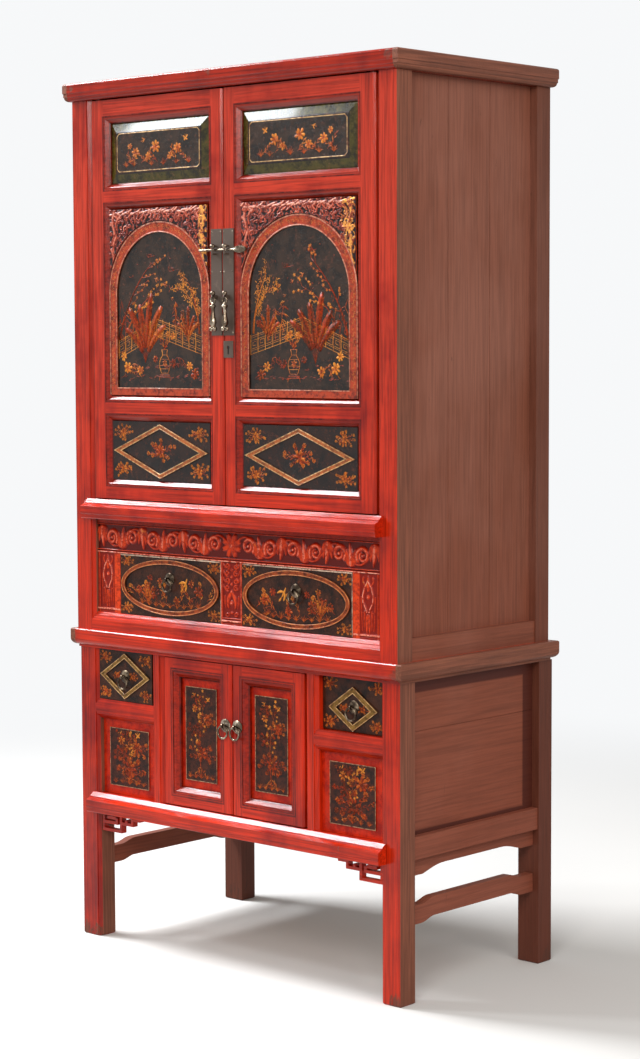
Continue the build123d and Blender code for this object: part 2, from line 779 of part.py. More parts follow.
def case_boards():
    """Deck over the wide drawers, shelf of the tall cupboard and floor of the lower one."""
    upper_back = back_panel_span(UPPER)[0] - BOARD_GAP
    lower_back = back_rail_span(LOWER)[0] - BOARD_GAP
    deck = notched_board(UPPER, SIDE_IN, DECK_Z, UPPER_FRONT + RAIL_D, upper_back)
    shelf = notched_board(UPPER, SIDE_IN, SHELF_Z, UPPER_FRONT + POST_D, upper_back)
    floor = notched_board(LOWER, RAIL_X[0], FLOOR_Z, LOWER_FRONT + RAIL_D, lower_back)
    return deck, shelf, floor


def bearers():
    """Bearers at the sides under the deck and the shelf, and battens under the lower floor."""
    items = []
    for board in (DECK_Z, SHELF_Z):
        z = (board[0] - BEARER_T, board[0])
        items += pair(block(BEARER_X, between_posts(UPPER), z))
    y = (LOWER_FRONT + RAIL_D, back_rail_span(LOWER)[0])
    low = max(LOWER_LEDGE_LOW, SIDE_RAIL_LOW) + QUIRK
    for x in (-INNER * 2 / 3, 0, INNER * 2 / 3):
        items.append(block(grown((x, x), RUNNER_W / 2), y, (low, FLOOR_Z[0])))
    return items


# ---------------------------------------------------------------- carved surround and brackets
SURROUND_Y = (UPPER_FRONT + SURROUND_SET, UPPER_FRONT + SURROUND_SET + SURROUND_T)


def carved_surround():
    """Frieze over the wide drawers, strips beside them and the upright between them."""
    frieze = block((-INNER, INNER), SURROUND_Y, (FRIEZE_LOW, LEDGE_LOW))
    strip = block((INNER - CARVED_STRIP, INNER), SURROUND_Y, (SILL_TOP, FRIEZE_LOW))
    half = CARVED_DIVIDER / 2
    divider = block((-half, half), SURROUND_Y, (SILL_TOP, FRIEZE_LOW))
    return frieze, pair(strip), divider


def fret_bracket():
    """Right-hand openwork bracket: bars in a key pattern that step up away from the leg."""
    bar = FRET_BAR
    long_x, tall = FRET_LONG, FRET_TALL
    step = long_x * 0.52
    tip = long_x * 0.82
    bars = [
        ((0, long_x), (tall - bar, tall)),
        ((0, bar), (0, tall)),
        ((0, step), (0, bar)),
        ((step - bar, step), (0, tall)),
        ((bar, step - 2 * bar), (bar * 2.6, bar * 3.6)),
        ((step - 3 * bar, step - 2 * bar), (bar * 2.6, bar * 4.7)),
        ((bar * 2.4, step - 3 * bar), (bar * 4.2, bar * 5.2)),
        ((step, tip), (tall * 0.42, tall * 0.42 + bar)),
        ((tip - bar, tip), (tall * 0.42, tall)),
        ((step + 1.6 * bar, step + 2.6 * bar), (tall * 0.42, tall - 2 * bar)),
        ((tip, long_x), (tall - 2 * bar, tall)),
    ]
    shape = None
    for x, z in bars:
        piece = Pos(INNER - (x[0] + x[1]) / 2, LOWER_LEDGE_LOW - tall + (z[0] + z[1]) / 2)
        piece = piece * Rectangle(x[1] - x[0], z[1] - z[0])
        shape = piece if shape is None else shape + piece
    y = (LOWER_FRONT + FRET_SET, LOWER_FRONT + FRET_SET + FRET_T)
    return prism_y(shape, y)


def fixed_panel():
    """Right-hand fixed panel of the lower case: red margin around a raised painted inset."""
    x = grown((DIVIDER_IN + DIVIDER_W, INNER), -BOARD_GAP)
    z = grown((LOWER_LEDGE_TOP, DRAWER_RAIL_LOW), -BOARD_GAP)
    front = LOWER_FRONT + FIXED_SET
    inset_x, inset_z = grown(x, -FIXED_SIDE), grown(z, -FIXED_MARGIN)
    inset = frustum(inset_x, inset_z, (front, front - INSET_RAISE), QUIRK / 2)
    return block(x, (front, front + FRONT_T), z) + inset


# ---------------------------------------------------------------- doors
def aperture_cut(x, z, face):
    """Moulded opening of a door frame: step, bead, bevel and straight drop."""
    bead_x, bead_z = grown(x, -BEAD_W), grown(z, -BEAD_W)
    open_x, open_z = grown(x, -MOULDING), grown(z, -MOULDING)
    cut = frustum(x, z, (face, face + QUIRK), QUIRK / 3)
    cut += frustum(bead_x, bead_z, (face + QUIRK, face + QUIRK + BEVEL_DEEP), BEVEL_W)
    return cut + block(open_x, (face + QUIRK, face + DOOR_T + PAST), open_z)


def tongue_span(face, back):
    """Y span of the tongue at a door panel's back."""
    return (face + back - TONGUE_T, face + back)


def door_frame(x, z, face, apertures, back):
    """Stiles and rails of one leaf, cut apart along their joints, grooved for its panels."""
    body = block(x, (face, face + DOOR_T), z)
    upright = body.edges().filter_by(Axis.Z)
    body = chamfer(upright, DOOR_EDGE_CHAMFER)
    tongue = grown(tongue_span(face, back), TONGUE_GAP)
    through = grown((face, face + DOOR_T), PAST)
    for open_x, open_z in apertures:
        body = body - aperture_cut(open_x, open_z, face)
        slot = TONGUE + TONGUE_GAP - MOULDING
        body = body - block(grown(open_x, slot), tongue, grown(open_z, slot))
    edge_x = apertures[0][0]
    inner_x = grown(edge_x, -MOULDING)
    top, low = apertures[0][1], apertures[-1][1]
    masks = [
        outline(
            [
                (x[0], z[1]),
                (x[1], z[1]),
                (inner_x[1], top[1] - MOULDING),
                (inner_x[0], top[1] - MOULDING),
            ]
        ),
        outline(
            [
                (x[0], z[0]),
                (x[1], z[0]),
                (inner_x[1], low[0] + MOULDING),
                (inner_x[0], low[0] + MOULDING),
            ]
        ),
    ]
    for above, below in zip(apertures[:-1], apertures[1:]):
        high_z, low_z = above[1][0], below[1][1]
        masks.append(
            outline(
                [
                    (edge_x[0], low_z),
                    (inner_x[0], low_z - MOULDING),
                    (inner_x[1], low_z - MOULDING),
                    (edge_x[1], low_z),
                    (edge_x[1], high_z),
                    (inner_x[1], high_z + MOULDING),
                    (inner_x[0], high_z + MOULDING),
                    (edge_x[0], high_z),
                ]
            )
        )
    members = []
    for mask in masks:
        cutter = prism_y(mask, through)
        members.append(body & cutter)
        body = body - cutter
    stiles = sorted(body.solids(), key=lambda solid: solid.center().X)
    return stiles, members


def with_pivots(stile, axis_x, face, z):
    """Outer stile with the round pivots turned on its two ends."""
    y = face + DOOR_T / 2
    pins = cylinder_z(axis_x, y, (z[0] - DOOR_GAP - PIVOT_LEN, z[0] + PAST), PIVOT_R)
    pins += cylinder_z(axis_x, y, (z[1] - PAST, z[1] + DOOR_GAP + PIVOT_LEN), PIVOT_R)
    return stile + pins


def pivot_socket(axis_x, face, level, direction):
    """Room for one pivot in the member above (direction 1) or below (-1) a leaf."""
    y = face + DOOR_T / 2
    deep = PIVOT_LEN + SOCKET_FLOOR_GAP
    z = sorted((level - direction, level + direction * deep))
    return cylinder_z(axis_x, y, z, PIVOT_R + PIVOT_GAP)


def panel_base(x, z, face, depth, back=PANEL_BACK):
    """Door panel without its ornament: field at a depth, tongue at the back."""
    open_x, open_z = grown(x, -MOULDING - TONGUE_GAP), grown(z, -MOULDING - TONGUE_GAP)
    body = block(open_x, (face + depth, face + back), open_z)
    reach = TONGUE - MOULDING
    return body + block(grown(x, reach), tongue_span(face, back), grown(z, reach))


def raised_panel(x, z, face):
    """Small top panel: a field raised by wide bevels."""
    depth = TOP_FIELD_DEEP + TOP_BEVEL_DEEP
    open_x, open_z = grown(x, -MOULDING - TONGUE_GAP), grown(z, -MOULDING - TONGUE_GAP)
    field = frustum(open_x, open_z, (face + depth, face + TOP_FIELD_DEEP), TOP_BEVEL_W)
    return panel_base(x, z, face, depth) + field


def arch_face(x, z, inset):
    """Round-headed outline, drawn in from an opening by inset."""
    left, right = x[0] + inset, x[1] - inset
    rise = min((right - left) / 2, (z[1] - z[0]) * ARCH_SHARE)
    low, spring = z[0], z[1] - rise
    lines = [
        Line((left, low), (right, low)),
        Line((right, low), (right, spring)),
        ThreePointArc((right, spring), ((left + right) / 2, z[1]), (left, spring)),
        Line((left, spring), (left, low)),
    ]
    return make_face(lines)


def arched_panel(x, z, face):
    """Tall panel: round-headed band around a field, with raised spandrels over it."""
    open_x, open_z = grown(x, -MOULDING - TONGUE_GAP), grown(z, -MOULDING - TONGUE_GAP)
    top = open_z[1] - ARCH_HEAD_ROOM
    field = arch_face(open_x, (open_z[0] + ARCH_FOOT, top - ARCH_BAND), ARCH_SIDE)
    flat = face + FIELD_DEEP
    band = block(open_x, (flat - ARCH_RAISE, flat), (open_z[0], top))
    outer = arch_face(open_x, (open_z[0] - PAST, top), ARCH_SIDE - ARCH_BAND)
    band = band & prism_y(outer, grown((flat - ARCH_RAISE, flat), PAST))
    band = band - prism_y(field, grown((flat - ARCH_RAISE, flat), PAST))
    spandrel = block(open_x, (flat - SPANDREL_RAISE, flat), (open_z[0] + ARCH_FOOT, open_z[1]))
    over = arch_face(open_x, (open_z[0], top + QUIRK), ARCH_SIDE - ARCH_BAND - QUIRK)
    spandrel = spandrel - prism_y(over, grown((flat - SPANDREL_RAISE, flat), PAST))
    return panel_base(x, z, face, FIELD_DEEP) + band + spandrel


def diamond_band(x, z, width, y):
    """Raised lozenge band of a width, its points on the middles of a rectangle's sides."""
    middle = (x[0] + x[1]) / 2, (z[0] + z[1]) / 2
    half = (x[1] - x[0]) / 2, (z[1] - z[0]) / 2
    slant = (half[0] ** 2 + half[1] ** 2) ** 0.5
    shapes = []
    for band in (0, width):
        a = half[0] - band * slant / half[1]
        b = half[1] - band * slant / half[0]
        points = [(a, 0), (0, b), (-a, 0), (0, -b)]
        shapes.append(outline([(middle[0] + p, middle[1] + q) for p, q in points]))
    return prism_y(shapes[0] - shapes[1], y)


def diamond_panel(x, z, face):
    """Low panel with a raised lozenge."""
    clear = MOULDING + TONGUE_GAP + DIAMOND_CLEAR
    flat = face + FIELD_DEEP
    band = diamond_band(
        grown(x, -clear), grown(z, -clear), DIAMOND_BAND, (flat - DIAMOND_RAISE, flat)
    )
    return panel_base(x, z, face, FIELD_DEEP) + band


def inset_panel(x, z, face):
    """Lower door panel: red margin with a raised painted inset."""
    open_x, open_z = grown(x, -MOULDING - TONGUE_GAP), grown(z, -MOULDING - TONGUE_GAP)
    flat = face + LOWER_FIELD_DEEP
    inset = frustum(
        grown(open_x, -INSET_SIDE),
        grown(open_z, -INSET_MARGIN),
        (flat, flat - INSET_RAISE),
        QUIRK / 2,
    )
    return panel_base(x, z, face, LOWER_FIELD_DEEP, LOWER_PANEL_BACK) + inset


UPPER_DOOR_Z = (LEDGE_TOP + DOOR_GAP, CORNICE_LOW - DOOR_GAP)
LOWER_DOOR_Z = (LOWER_LEDGE_TOP + DOOR_GAP, WAIST_LOW - DOOR_GAP)
LOWER_FACE = LOWER_FRONT + DOOR_SET
UPPER_FACE = UPPER_FRONT + DOOR_SET


def upper_door_x(side):
    """X span of the left (-1) or right (1) upper leaf."""
    outer = INNER - DOOR_SIDE_GAP
    if side < 0:
        return (-outer, MEETING_X - DOOR_GAP / 2)
    return (MEETING_X + DOOR_GAP / 2, outer)


def lower_door_x(side):
    """X span of the left (-1) or right (1) lower leaf."""
    span = (DOOR_GAP / 2, DIVIDER_IN - DOOR_SIDE_GAP)
    return span if side > 0 else (-span[1], -span[0])


def pivot_x(x, side):
    """Pivot axis of a leaf whose outer edge is on the given side."""
    return x[1] - PIVOT_IN if side > 0 else x[0] + PIVOT_IN


def upper_apertures(side):
    """Openings of an upper leaf from the top down, each as (x span, z span)."""
    leaf = upper_door_x(side)
    stiles = (UPPER_STILE, MEETING_STILE) if side < 0 else (MEETING_STILE, UPPER_STILE)
    x = (leaf[0] + stiles[0], leaf[1] - stiles[1])
    top = UPPER_DOOR_Z[1] - UPPER_TOP_RAIL
    low = UPPER_DOOR_Z[0] + UPPER_BOTTOM_RAIL
    first = (top - TOP_PANEL_TALL, top)
    last = (low, low + DIAMOND_PANEL_TALL)
    middle = (last[1] + UPPER_MID_RAIL, first[0] - UPPER_MID_RAIL)
    return [(x, first), (x, middle), (x, last)]


def upper_door(side):
    """One tall leaf: its frame with pivots, and its three panels."""
    x = upper_door_x(side)
    apertures = upper_apertures(side)
    stiles, rails = door_frame(x, UPPER_DOOR_Z, UPPER_FACE, apertures, PANEL_BACK)
    outer = 0 if side < 0 else 1
    stiles[outer] = with_pivots(stiles[outer], pivot_x(x, side), UPPER_FACE, UPPER_DOOR_Z)
    makers = (raised_panel, arched_panel, diamond_panel)
    panels = [make(*opening, UPPER_FACE) for make, opening in zip(makers, apertures)]
    return [stiles, rails], panels


def lower_door(side):
    """One small leaf: its frame with pivots, and its panel."""
    x = lower_door_x(side)
    z = (LOWER_DOOR_Z[0] + LOWER_BOTTOM_RAIL, LOWER_DOOR_Z[1] - LOWER_TOP_RAIL)
    opening = (grown(x, -LOWER_STILE), z)
    stiles, rails = door_frame(x, LOWER_DOOR_Z, LOWER_FACE, [opening], LOWER_PANEL_BACK)
    outer = 0 if side < 0 else 1
    stiles[outer] = with_pivots(stiles[outer], pivot_x(x, side), LOWER_FACE, LOWER_DOOR_Z)
    return [stiles, rails], inset_panel(*opening, LOWER_FACE)


# ---------------------------------------------------------------- drawers
UPPER_BAY = (CARVED_DIVIDER / 2, INNER - CARVED_STRIP)
LOWER_BAY = (DIVIDER_IN + DIVIDER_W, INNER)


def drawer_box(front_x, front_z, back_of_front, floor):
    """Sides, back and bottom behind a drawer front."""
    x = grown(front_x, -GUIDE_GAP)
    y = (back_of_front, back_of_front + BOX_DEEP)
    z = (floor + RUN_GAP, front_z[1] - BOX_DROP)
    walls = [
        block((x[0], x[0] + BOX_WALL), y, z),
        block((x[1] - BOX_WALL, x[1]), y, z),
        block((x[0] + BOX_WALL, x[1] - BOX_WALL), (y[1] - BOX_WALL, y[1]), z),
    ]
    bottom_z = (z[0] + BOX_BOTTOM, z[0] + 2 * BOX_BOTTOM)
    bottom_x = grown((x[0] + BOX_WALL, x[1] - BOX_WALL), BOX_WALL / 2)
    bottom = block(bottom_x, (y[0], y[1] - BOX_WALL), bottom_z)
    groove = block(grown(bottom_x, TENON_GAP), (y[0] - PAST, y[1] - BOX_WALL), bottom_z)
    walls[0] = walls[0] - groove
    walls[1] = walls[1] - groove
    return walls + [bottom]


def upper_drawer():
    """Right-hand wide drawer: front with its raised oval, and its box."""
    x = grown(UPPER_BAY, -FRONT_GAP)
    z = grown((SILL_TOP, FRIEZE_LOW), -FRONT_GAP)
    face = UPPER_FRONT + SURROUND_SET + FRONT_GAP
    front = block(x, (face, face + FRONT_T), z)
    middle = Pos((x[0] + x[1]) / 2, (z[0] + z[1]) / 2)
    half_x, half_z = (x[1] - x[0]) / 2 - OVAL_CLEAR, (z[1] - z[0]) / 2 - OVAL_CLEAR
    ring = Ellipse(half_x, half_z) - Ellipse(half_x - OVAL_BAND, half_z - OVAL_BAND)
    front = front + prism_y(middle * ring, (face - OVAL_RAISE, face))
    return front, drawer_box(x, z, face + FRONT_T, SILL_TOP)


def small_face(side):
    """Face of a small drawer on the given side."""
    return LOWER_FRONT + SMALL_SET[side]


def small_drawer(side):
    """Small drawer of the given side, made as the right-hand one: front with lozenge, and box."""
    x = grown(LOWER_BAY, -FRONT_GAP)
    z = grown((DRAWER_SILL, WAIST_LOW), -FRONT_GAP)
    face = small_face(side)
    front = block(x, (face, face + FRONT_T), z)
    band_z = (z[0] + SMALL_CLEAR_LOW[side], z[1] - SMALL_CLEAR_TOP[side])
    band_x = grown(x, -SMALL_CLEAR[side])
    front = front + diamond_band(band_x, band_z, SMALL_BAND[side], (face - DIAMOND_RAISE, face))
    return front, drawer_box(x, z, face + FRONT_T, DRAWER_SILL)


def runner(bay_edge, direction, floor, y):
    """Angle-shaped runner along one side of a drawer: bed below, guide beside.

    bay_edge is the drawer box's face; direction points from the box outwards.
    """
    guide = sorted((bay_edge + direction * GUIDE_GAP, bay_edge + direction * RUNNER_W / 2))
    bed = sorted((bay_edge - direction * RUNNER_W / 2, bay_edge + direction * RUNNER_W / 2))
    solid = block(bed, y, (floor - RUNNER_T, floor))
    return solid + block(guide, y, (floor, floor + GUIDE_UP))


def drawer_runners():
    """Four runners in each case, carried by the rails in front and behind."""
    items = []
    upper_y = (UPPER_FRONT + RAIL_D, back_rail_span(UPPER)[0])
    lower_y = (LOWER_FRONT + RAIL_D, LOWER_BACK - POST_D)
    rows = (
        (UPPER_BAY, SILL_TOP, upper_y),
        (LOWER_BAY, DRAWER_SILL, lower_y),
    )
    for bay, floor, y in rows:
        edges = grown(bay, -FRONT_GAP - GUIDE_GAP)
        items += pair(runner(edges[0], -1, floor, y))
        items += pair(runner(edges[1], 1, floor, y))
    return items


# ---------------------------------------------------------------- metalwork
def lug(x, surface, z, off, wire):
    """Ear standing out from a plate or rosette, with the hole that a ring hangs in."""
    outer = wire + LUG_PLAY + LUG_WALL
    half = LUG_T / 2
    body = block((x - half, x + half), (surface - off, surface), (z - outer, z + outer))
    body += cylinder_x((x - half, x + half), surface - off, z, outer)
    return body - cylinder_x((x - LUG_T, x + LUG_T), surface - off, z, wire + LUG_PLAY)


def hanging_ring(x, y, z, radius, wire):
    """Ring in the plane of the front, hung by its top at height z."""
    return Pos(x, y, z - radius) * Rot(90, 0, 0) * Torus(radius, wire)


def plate_x(side):
    """X span of the lock plate on a meeting stile."""
    if side < 0:
        edge = MEETING_X - DOOR_GAP / 2 - PLATE_INSET
        return (edge - PLATE_W, edge)
    edge = MEETING_X + DOOR_GAP / 2 + PLATE_INSET
    return (edge, edge + PLATE_W)


def lock_plate(side):
    """Long plate with the staple that takes the lock pin and the lug of the pull."""
    x = plate_x(side)
    middle = (x[0] + x[1]) / 2
    surface = UPPER_FACE - PLATE_T
    plate = block(x, (surface, UPPER_FACE), (PLATE_TOP - PLATE_TALL, PLATE_TOP))
    out = surface - PIN_OFF - PIN_R - STAPLE_GAP - STAPLE_R
    for end in (-1, 1):
        z = PIN_Z + end * STAPLE_HALF
        plate += cylinder_y(middle, (out, surface), z, STAPLE_R)
        plate += Pos(middle, out, z) * Sphere(STAPLE_R)
    plate += cylinder_z(middle, out, (PIN_Z - STAPLE_HALF, PIN_Z + STAPLE_HALF), STAPLE_R)
    return plate + lug(middle, surface, PULL_Z, PULL_OFF, PULL_RING_WIRE)


def escutcheon():
    """Small keyhole plate under the right lock plate."""
    x = plate_x(1)
    x = (x[0], x[0] + ESCUTCHEON_W)
    middle = (x[0] + x[1]) / 2
    z = (ESCUTCHEON_Z - ESCUTCHEON_TALL / 2, ESCUTCHEON_Z + ESCUTCHEON_TALL / 2)
    through = grown((UPPER_FACE - PLATE_T, UPPER_FACE), PAST)
    plate = block(x, (UPPER_FACE - PLATE_T, UPPER_FACE), z)
    plate -= cylinder_y(middle, through, ESCUTCHEON_Z + KEY_R, KEY_R)
    slot_x = grown((middle, middle), KEY_R / 2)
    return plate - block(slot_x, through, (ESCUTCHEON_Z - KEY_SLOT, ESCUTCHEON_Z + KEY_R))


def lock_pin():
    """Sliding pin through both staples, with a flat oval head."""
    y = UPPER_FACE - PLATE_T - PIN_OFF
    shaft = cylinder_x((PIN_LEFT, PIN_RIGHT), y, PIN_Z, PIN_R)
    head = Pos(PIN_RIGHT + PIN_HEAD / 2, PIN_Z) * Ellipse(PIN_HEAD / 2 + PIN_R, PIN_HEAD / 4)
    return shaft + prism_y(head, (y - PIN_R * 0.7, y + PIN_R * 0.7))


def drop_pull(side):
    """Cast pull of vase shape, hung by the small ring at its top."""
    x = sum(plate_x(side)) / 2
    y = UPPER_FACE - PLATE_T - PULL_OFF
    neck = PULL_Z - 2 * PULL_RING_R
    foot = neck - PULL_LONG + PULL_RING_R
    span = neck - foot
    shape = [
        (0, neck + PULL_RING_WIRE),
        (PULL_R * 0.34, neck),
        (PULL_R * 0.3, neck - span * 0.08),
        (PULL_R * 0.8, neck - span * 0.2),
        (PULL_R * 0.76, neck - span * 0.3),
        (PULL_R * 0.38, neck - span * 0.42),
        (PULL_R * 0.46, neck - span * 0.5),
        (PULL_R, neck - span * 0.68),
        (PULL_R * 0.9, neck - span * 0.8),
        (PULL_R * 0.4, neck - span * 0.92),
        (0, foot),
    ]
    profile = make_face([Spline(*shape), Line(shape[-1], shape[0])])
    vase = revolve(Plane.XZ * profile, axis=Axis.Z)
    return Pos(x, y, 0) * vase + hanging_ring(x, y, PULL_Z, PULL_RING_R, PULL_RING_WIRE)


def rosette(x, surface, z):
    """Domed boss with the lug that its ring hangs in."""
    top = -ROSETTE_RIM - ROSETTE_DOME
    shoulder = (ROSETTE_R * 0.7, -ROSETTE_RIM - ROSETTE_DOME * 0.5)
    lines = [
        Line((0, 0), (ROSETTE_R, 0)),
        Line((ROSETTE_R, 0), (ROSETTE_R, -ROSETTE_RIM)),
        ThreePointArc((ROSETTE_R, -ROSETTE_RIM), shoulder, (0, top)),
        Line((0, top), (0, 0)),
    ]
    boss = Pos(x, surface, z) * revolve(make_face(lines), axis=Axis.Y)
    return boss + lug(x, surface - ROSETTE_RIM, z, RING_OFF - ROSETTE_RIM, RING_WIRE)


def ring_pull(x, surface, z):
    """Ring that hangs from a rosette's lug."""
    return hanging_ring(x, surface - RING_OFF, z, RING_R, RING_WIRE)


# ---------------------------------------------------------------- the whole cabinet
def build_frames():
    """Cornice and waist frames with their boards and the sockets for the door pivots."""
    front, back, end, opening = mitred_frame(
        cornice_face, CORNICE_OUT, CORNICE_BACK_OUT, UPPER, (CORNICE_LOW, HEIGHT)
    )
    board, room = frame_panel(opening, HEIGHT)
    for side in (-1, 1):
        axis = pivot_x(upper_door_x(side), side)
        front = front - pivot_socket(axis, UPPER_FACE, CORNICE_LOW, 1)
    save("cornice_frame", front - room, back - room, pair(end - room))
    boards = [board]
    front, back, end, opening = mitred_frame(
        waist_face, WAIST_OUT, WAIST_BACK_OUT, LOWER, (WAIST_LOW, WAIST_TOP)
    )
    board, room = frame_panel(opening, WAIST_TOP)
    for side in (-1, 1):
        axis = pivot_x(lower_door_x(side), side)
        front = front - pivot_socket(axis, LOWER_FACE, WAIST_LOW, 1)
    save("waist_frame", front - room, back - room, pair(end - room))
    save("frame_boards", boards, board)


def build_case():
    """Posts, rails, panels and boards that stay still."""
    front_posts, rear_posts = upper_posts()
    front_legs, rear_legs = legs()
    save("upper_front_posts", front_posts)
    save("upper_rear_posts", rear_posts)
    save("front_legs", front_legs)
    save("rear_legs", rear_legs)
    upper_ledge = ledge_rail(UPPER, LEDGE_LOW)
    lower_ledge = ledge_rail(LOWER, LOWER_LEDGE_LOW)
    for side in (-1, 1):
        axis = pivot_x(upper_door_x(side), side)
        upper_ledge = upper_ledge - pivot_socket(axis, UPPER_FACE, LEDGE_TOP, -1)
        axis = pivot_x(lower_door_x(side), side)
        lower_ledge = lower_ledge - pivot_socket(axis, LOWER_FACE, LOWER_LEDGE_TOP, -1)
    save("upper_ledge_rail", upper_ledge)
    save("lower_ledge_rail", lower_ledge)
    save("drawer_sill_rail", sill_rail())
    save("small_drawer_rails", pair(drawer_rail()))
    save("lower_dividers", pair(lower_divider()))
    save("side_rails", side_rails())
    upper_sides, lower_sides = side_panels()
    save("upper_side_panels", upper_sides)
    save("lower_side_panels", lower_sides)
    upper_back, lower_back = back_panels()
    save("back_panels", upper_back, lower_back)
    save("back_rails", back_rails())
    save("side_aprons", side_aprons())
    save("side_stretchers", side_stretchers())
    for name, board in zip(("drawer_deck", "cupboard_shelf", "lower_floor"), case_boards()):
        save(name, board)
    save("bearers_and_runners", bearers(), drawer_runners())
    frieze, strips, divider = carved_surround()
    save("carved_frieze", frieze)
    save("carved_uprights", strips, divider)
    save("fixed_panels", pair(fixed_panel()))
    save("fret_brackets", pair(fret_bracket()))


def build_doors():
    """Four leaves with their plates, pulls and the lock pin."""
    for side, word in ((-1, "left"), (1, "right")):
        frame, panels = upper_door(side)
        save(f"upper_door_frame_{word}", frame)
        save(f"upper_door_panels_{word}", panels)
        save(f"lock_plate_{word}", lock_plate(side), [] if side < 0 else escutcheon())
        save(f"drop_pull_{word}", drop_pull(side))
        frame, panel = lower_door(side)
        save(f"lower_door_frame_{word}", frame)
        save(f"lower_door_panel_{word}", panel)
        x = side * LOWER_PULL_IN
        save(f"lower_door_rosette_{word}", rosette(x, LOWER_FACE, LOWER_PULL_Z))
        save(f"lower_door_ring_{word}", ring_pull(x, LOWER_FACE, LOWER_PULL_Z))
    save("lock_pin", lock_pin())


def build_drawers():
    """Two wide and two small drawers with their ring pulls."""
    wide_front, wide_box = upper_drawer()
    wide_face = UPPER_FRONT + SURROUND_SET + FRONT_GAP
    wide_x, small_x = sum(UPPER_BAY) / 2, sum(LOWER_BAY) / 2
    for side, word in ((-1, "left"), (1, "right")):
        turn = flip if side < 0 else lambda item: item
        save(f"wide_drawer_front_{word}", turn(wide_front))
        save(f"wide_drawer_box_{word}", [turn(item) for item in wide_box])
        save(f"wide_drawer_rosette_{word}", rosette(side * wide_x, wide_face, UPPER_PULL_Z))
        save(f"wide_drawer_ring_{word}", ring_pull(side * wide_x, wide_face, UPPER_PULL_Z))
        front, box = small_drawer(side)
        x, face, z = side * small_x, small_face(side), SMALL_PULL_Z[side]
        save(f"small_drawer_front_{word}", turn(front))
        save(f"small_drawer_box_{word}", [turn(item) for item in box])
        save(f"small_drawer_rosette_{word}", rosette(x, face, z))
        save(f"small_drawer_ring_{word}", ring_pull(x, face, z))


os.makedirs("parts", exist_ok=True)
build_frames()
build_case()
build_doors()
build_drawers()
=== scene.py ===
"""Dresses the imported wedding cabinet: lacquer, worn paint, carving, gilt painting and metalwork.

The frame is the cabinet's own: +Z up, front towards -Y, floor at z = 0. Finishes work in metres;
new pieces are worked out in millimetres and turned into metres in new_piece.
"""

import bpy
import numpy as np
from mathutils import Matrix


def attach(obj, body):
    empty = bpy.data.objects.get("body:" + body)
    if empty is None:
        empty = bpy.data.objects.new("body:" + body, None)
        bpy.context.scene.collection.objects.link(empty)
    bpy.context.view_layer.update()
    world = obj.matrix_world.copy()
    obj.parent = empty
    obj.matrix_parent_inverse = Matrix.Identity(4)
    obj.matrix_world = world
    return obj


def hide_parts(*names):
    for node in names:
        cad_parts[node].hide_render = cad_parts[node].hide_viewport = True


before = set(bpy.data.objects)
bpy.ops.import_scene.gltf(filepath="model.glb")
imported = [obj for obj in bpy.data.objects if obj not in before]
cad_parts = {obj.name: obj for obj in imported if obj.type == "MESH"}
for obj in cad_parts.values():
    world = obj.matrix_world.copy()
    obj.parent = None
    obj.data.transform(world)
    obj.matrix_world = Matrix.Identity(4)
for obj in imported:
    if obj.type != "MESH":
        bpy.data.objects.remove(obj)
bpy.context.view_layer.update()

MM = 0.001
SIDES = {"left": -1, "right": 1}
CORNERS = [(across, up) for across in (-1, 1) for up in (-1, 1)]
UPPER_FACE = -237.0  # front of the tall doors (mm)
SURROUND_FACE = -228.0  # front of the boards round the wide drawers (mm)
STUDIO_WHITE = (0.93, 0.94, 0.95)
UPWARD = np.pi / 2  # a curve's heading, straight up


# ---------------------------------------------------------------- materials
class Value:
    """One socket of a finish; sums and products of values add Math nodes."""

    def __init__(self, finish, socket):
        self.finish, self.socket = finish, socket

    def math(self, operation, *others):
        """The value put through one Math node."""
        return self.finish.node("Math", {"operation": operation}, [self, *others])

    def __add__(self, other):
        return self.math("ADD", other)

    __radd__ = __add__

    def __sub__(self, other):
        return self.math("SUBTRACT", other)

    def __rsub__(self, other):
        return self.finish.node("Math", {"operation": "SUBTRACT"}, [other, self])

    def __mul__(self, other):
        return self.math("MULTIPLY", other)

    __rmul__ = __mul__

    def __truediv__(self, other):
        return self.math("DIVIDE", other)

    def __gt__(self, other):
        return self.math("GREATER_THAN", other)

    def __lt__(self, other):
        return self.math("LESS_THAN", other)

    def __abs__(self):
        return self.math("ABSOLUTE")

    def least(self, other):
        """The lower of two values."""
        return self.math("MINIMUM", other)

    def most(self, other):
        """The higher of two values."""
        return self.math("MAXIMUM", other)

    def fit(self, low, high, start=0.0, end=1.0):
        """Smooth step: start at low, end at high, level beyond both."""
        settings = {"interpolation_type": "SMOOTHSTEP"}
        return self.finish.node("MapRange", settings, [self, low, high, start, end])


def opaque(colour):
    """Colour of three numbers made one of four; a Value is left as it is."""
    return (*colour, 1.0) if isinstance(colour, tuple) else colour


class Nodes:
    """A tree of nodes, and the one way in which a node is added to it."""

    def __init__(self, tree):
        self.tree = tree

    def node(self, kind, settings=None, inputs=(), out=0):
        """Any node: its type, its settings, and the values or links of its sockets."""
        made = self.tree.nodes.new("ShaderNode" + kind)
        for key, value in (settings or {}).items():
            setattr(made, key, value)
        pairs = inputs.items() if isinstance(inputs, dict) else enumerate(inputs)
        for key, value in pairs:
            if isinstance(value, Value):
                self.tree.links.new(value.socket, made.inputs[key])
            else:
                made.inputs[key].default_value = value
        return Value(self, made.outputs[out])

    def seen_by(self, *rays):
        """Mask that is 1 for the named rays."""
        mask = self.node("LightPath", out=rays[0])
        for ray in rays[1:]:
            mask = mask.most(self.node("LightPath", out=ray))
        return mask


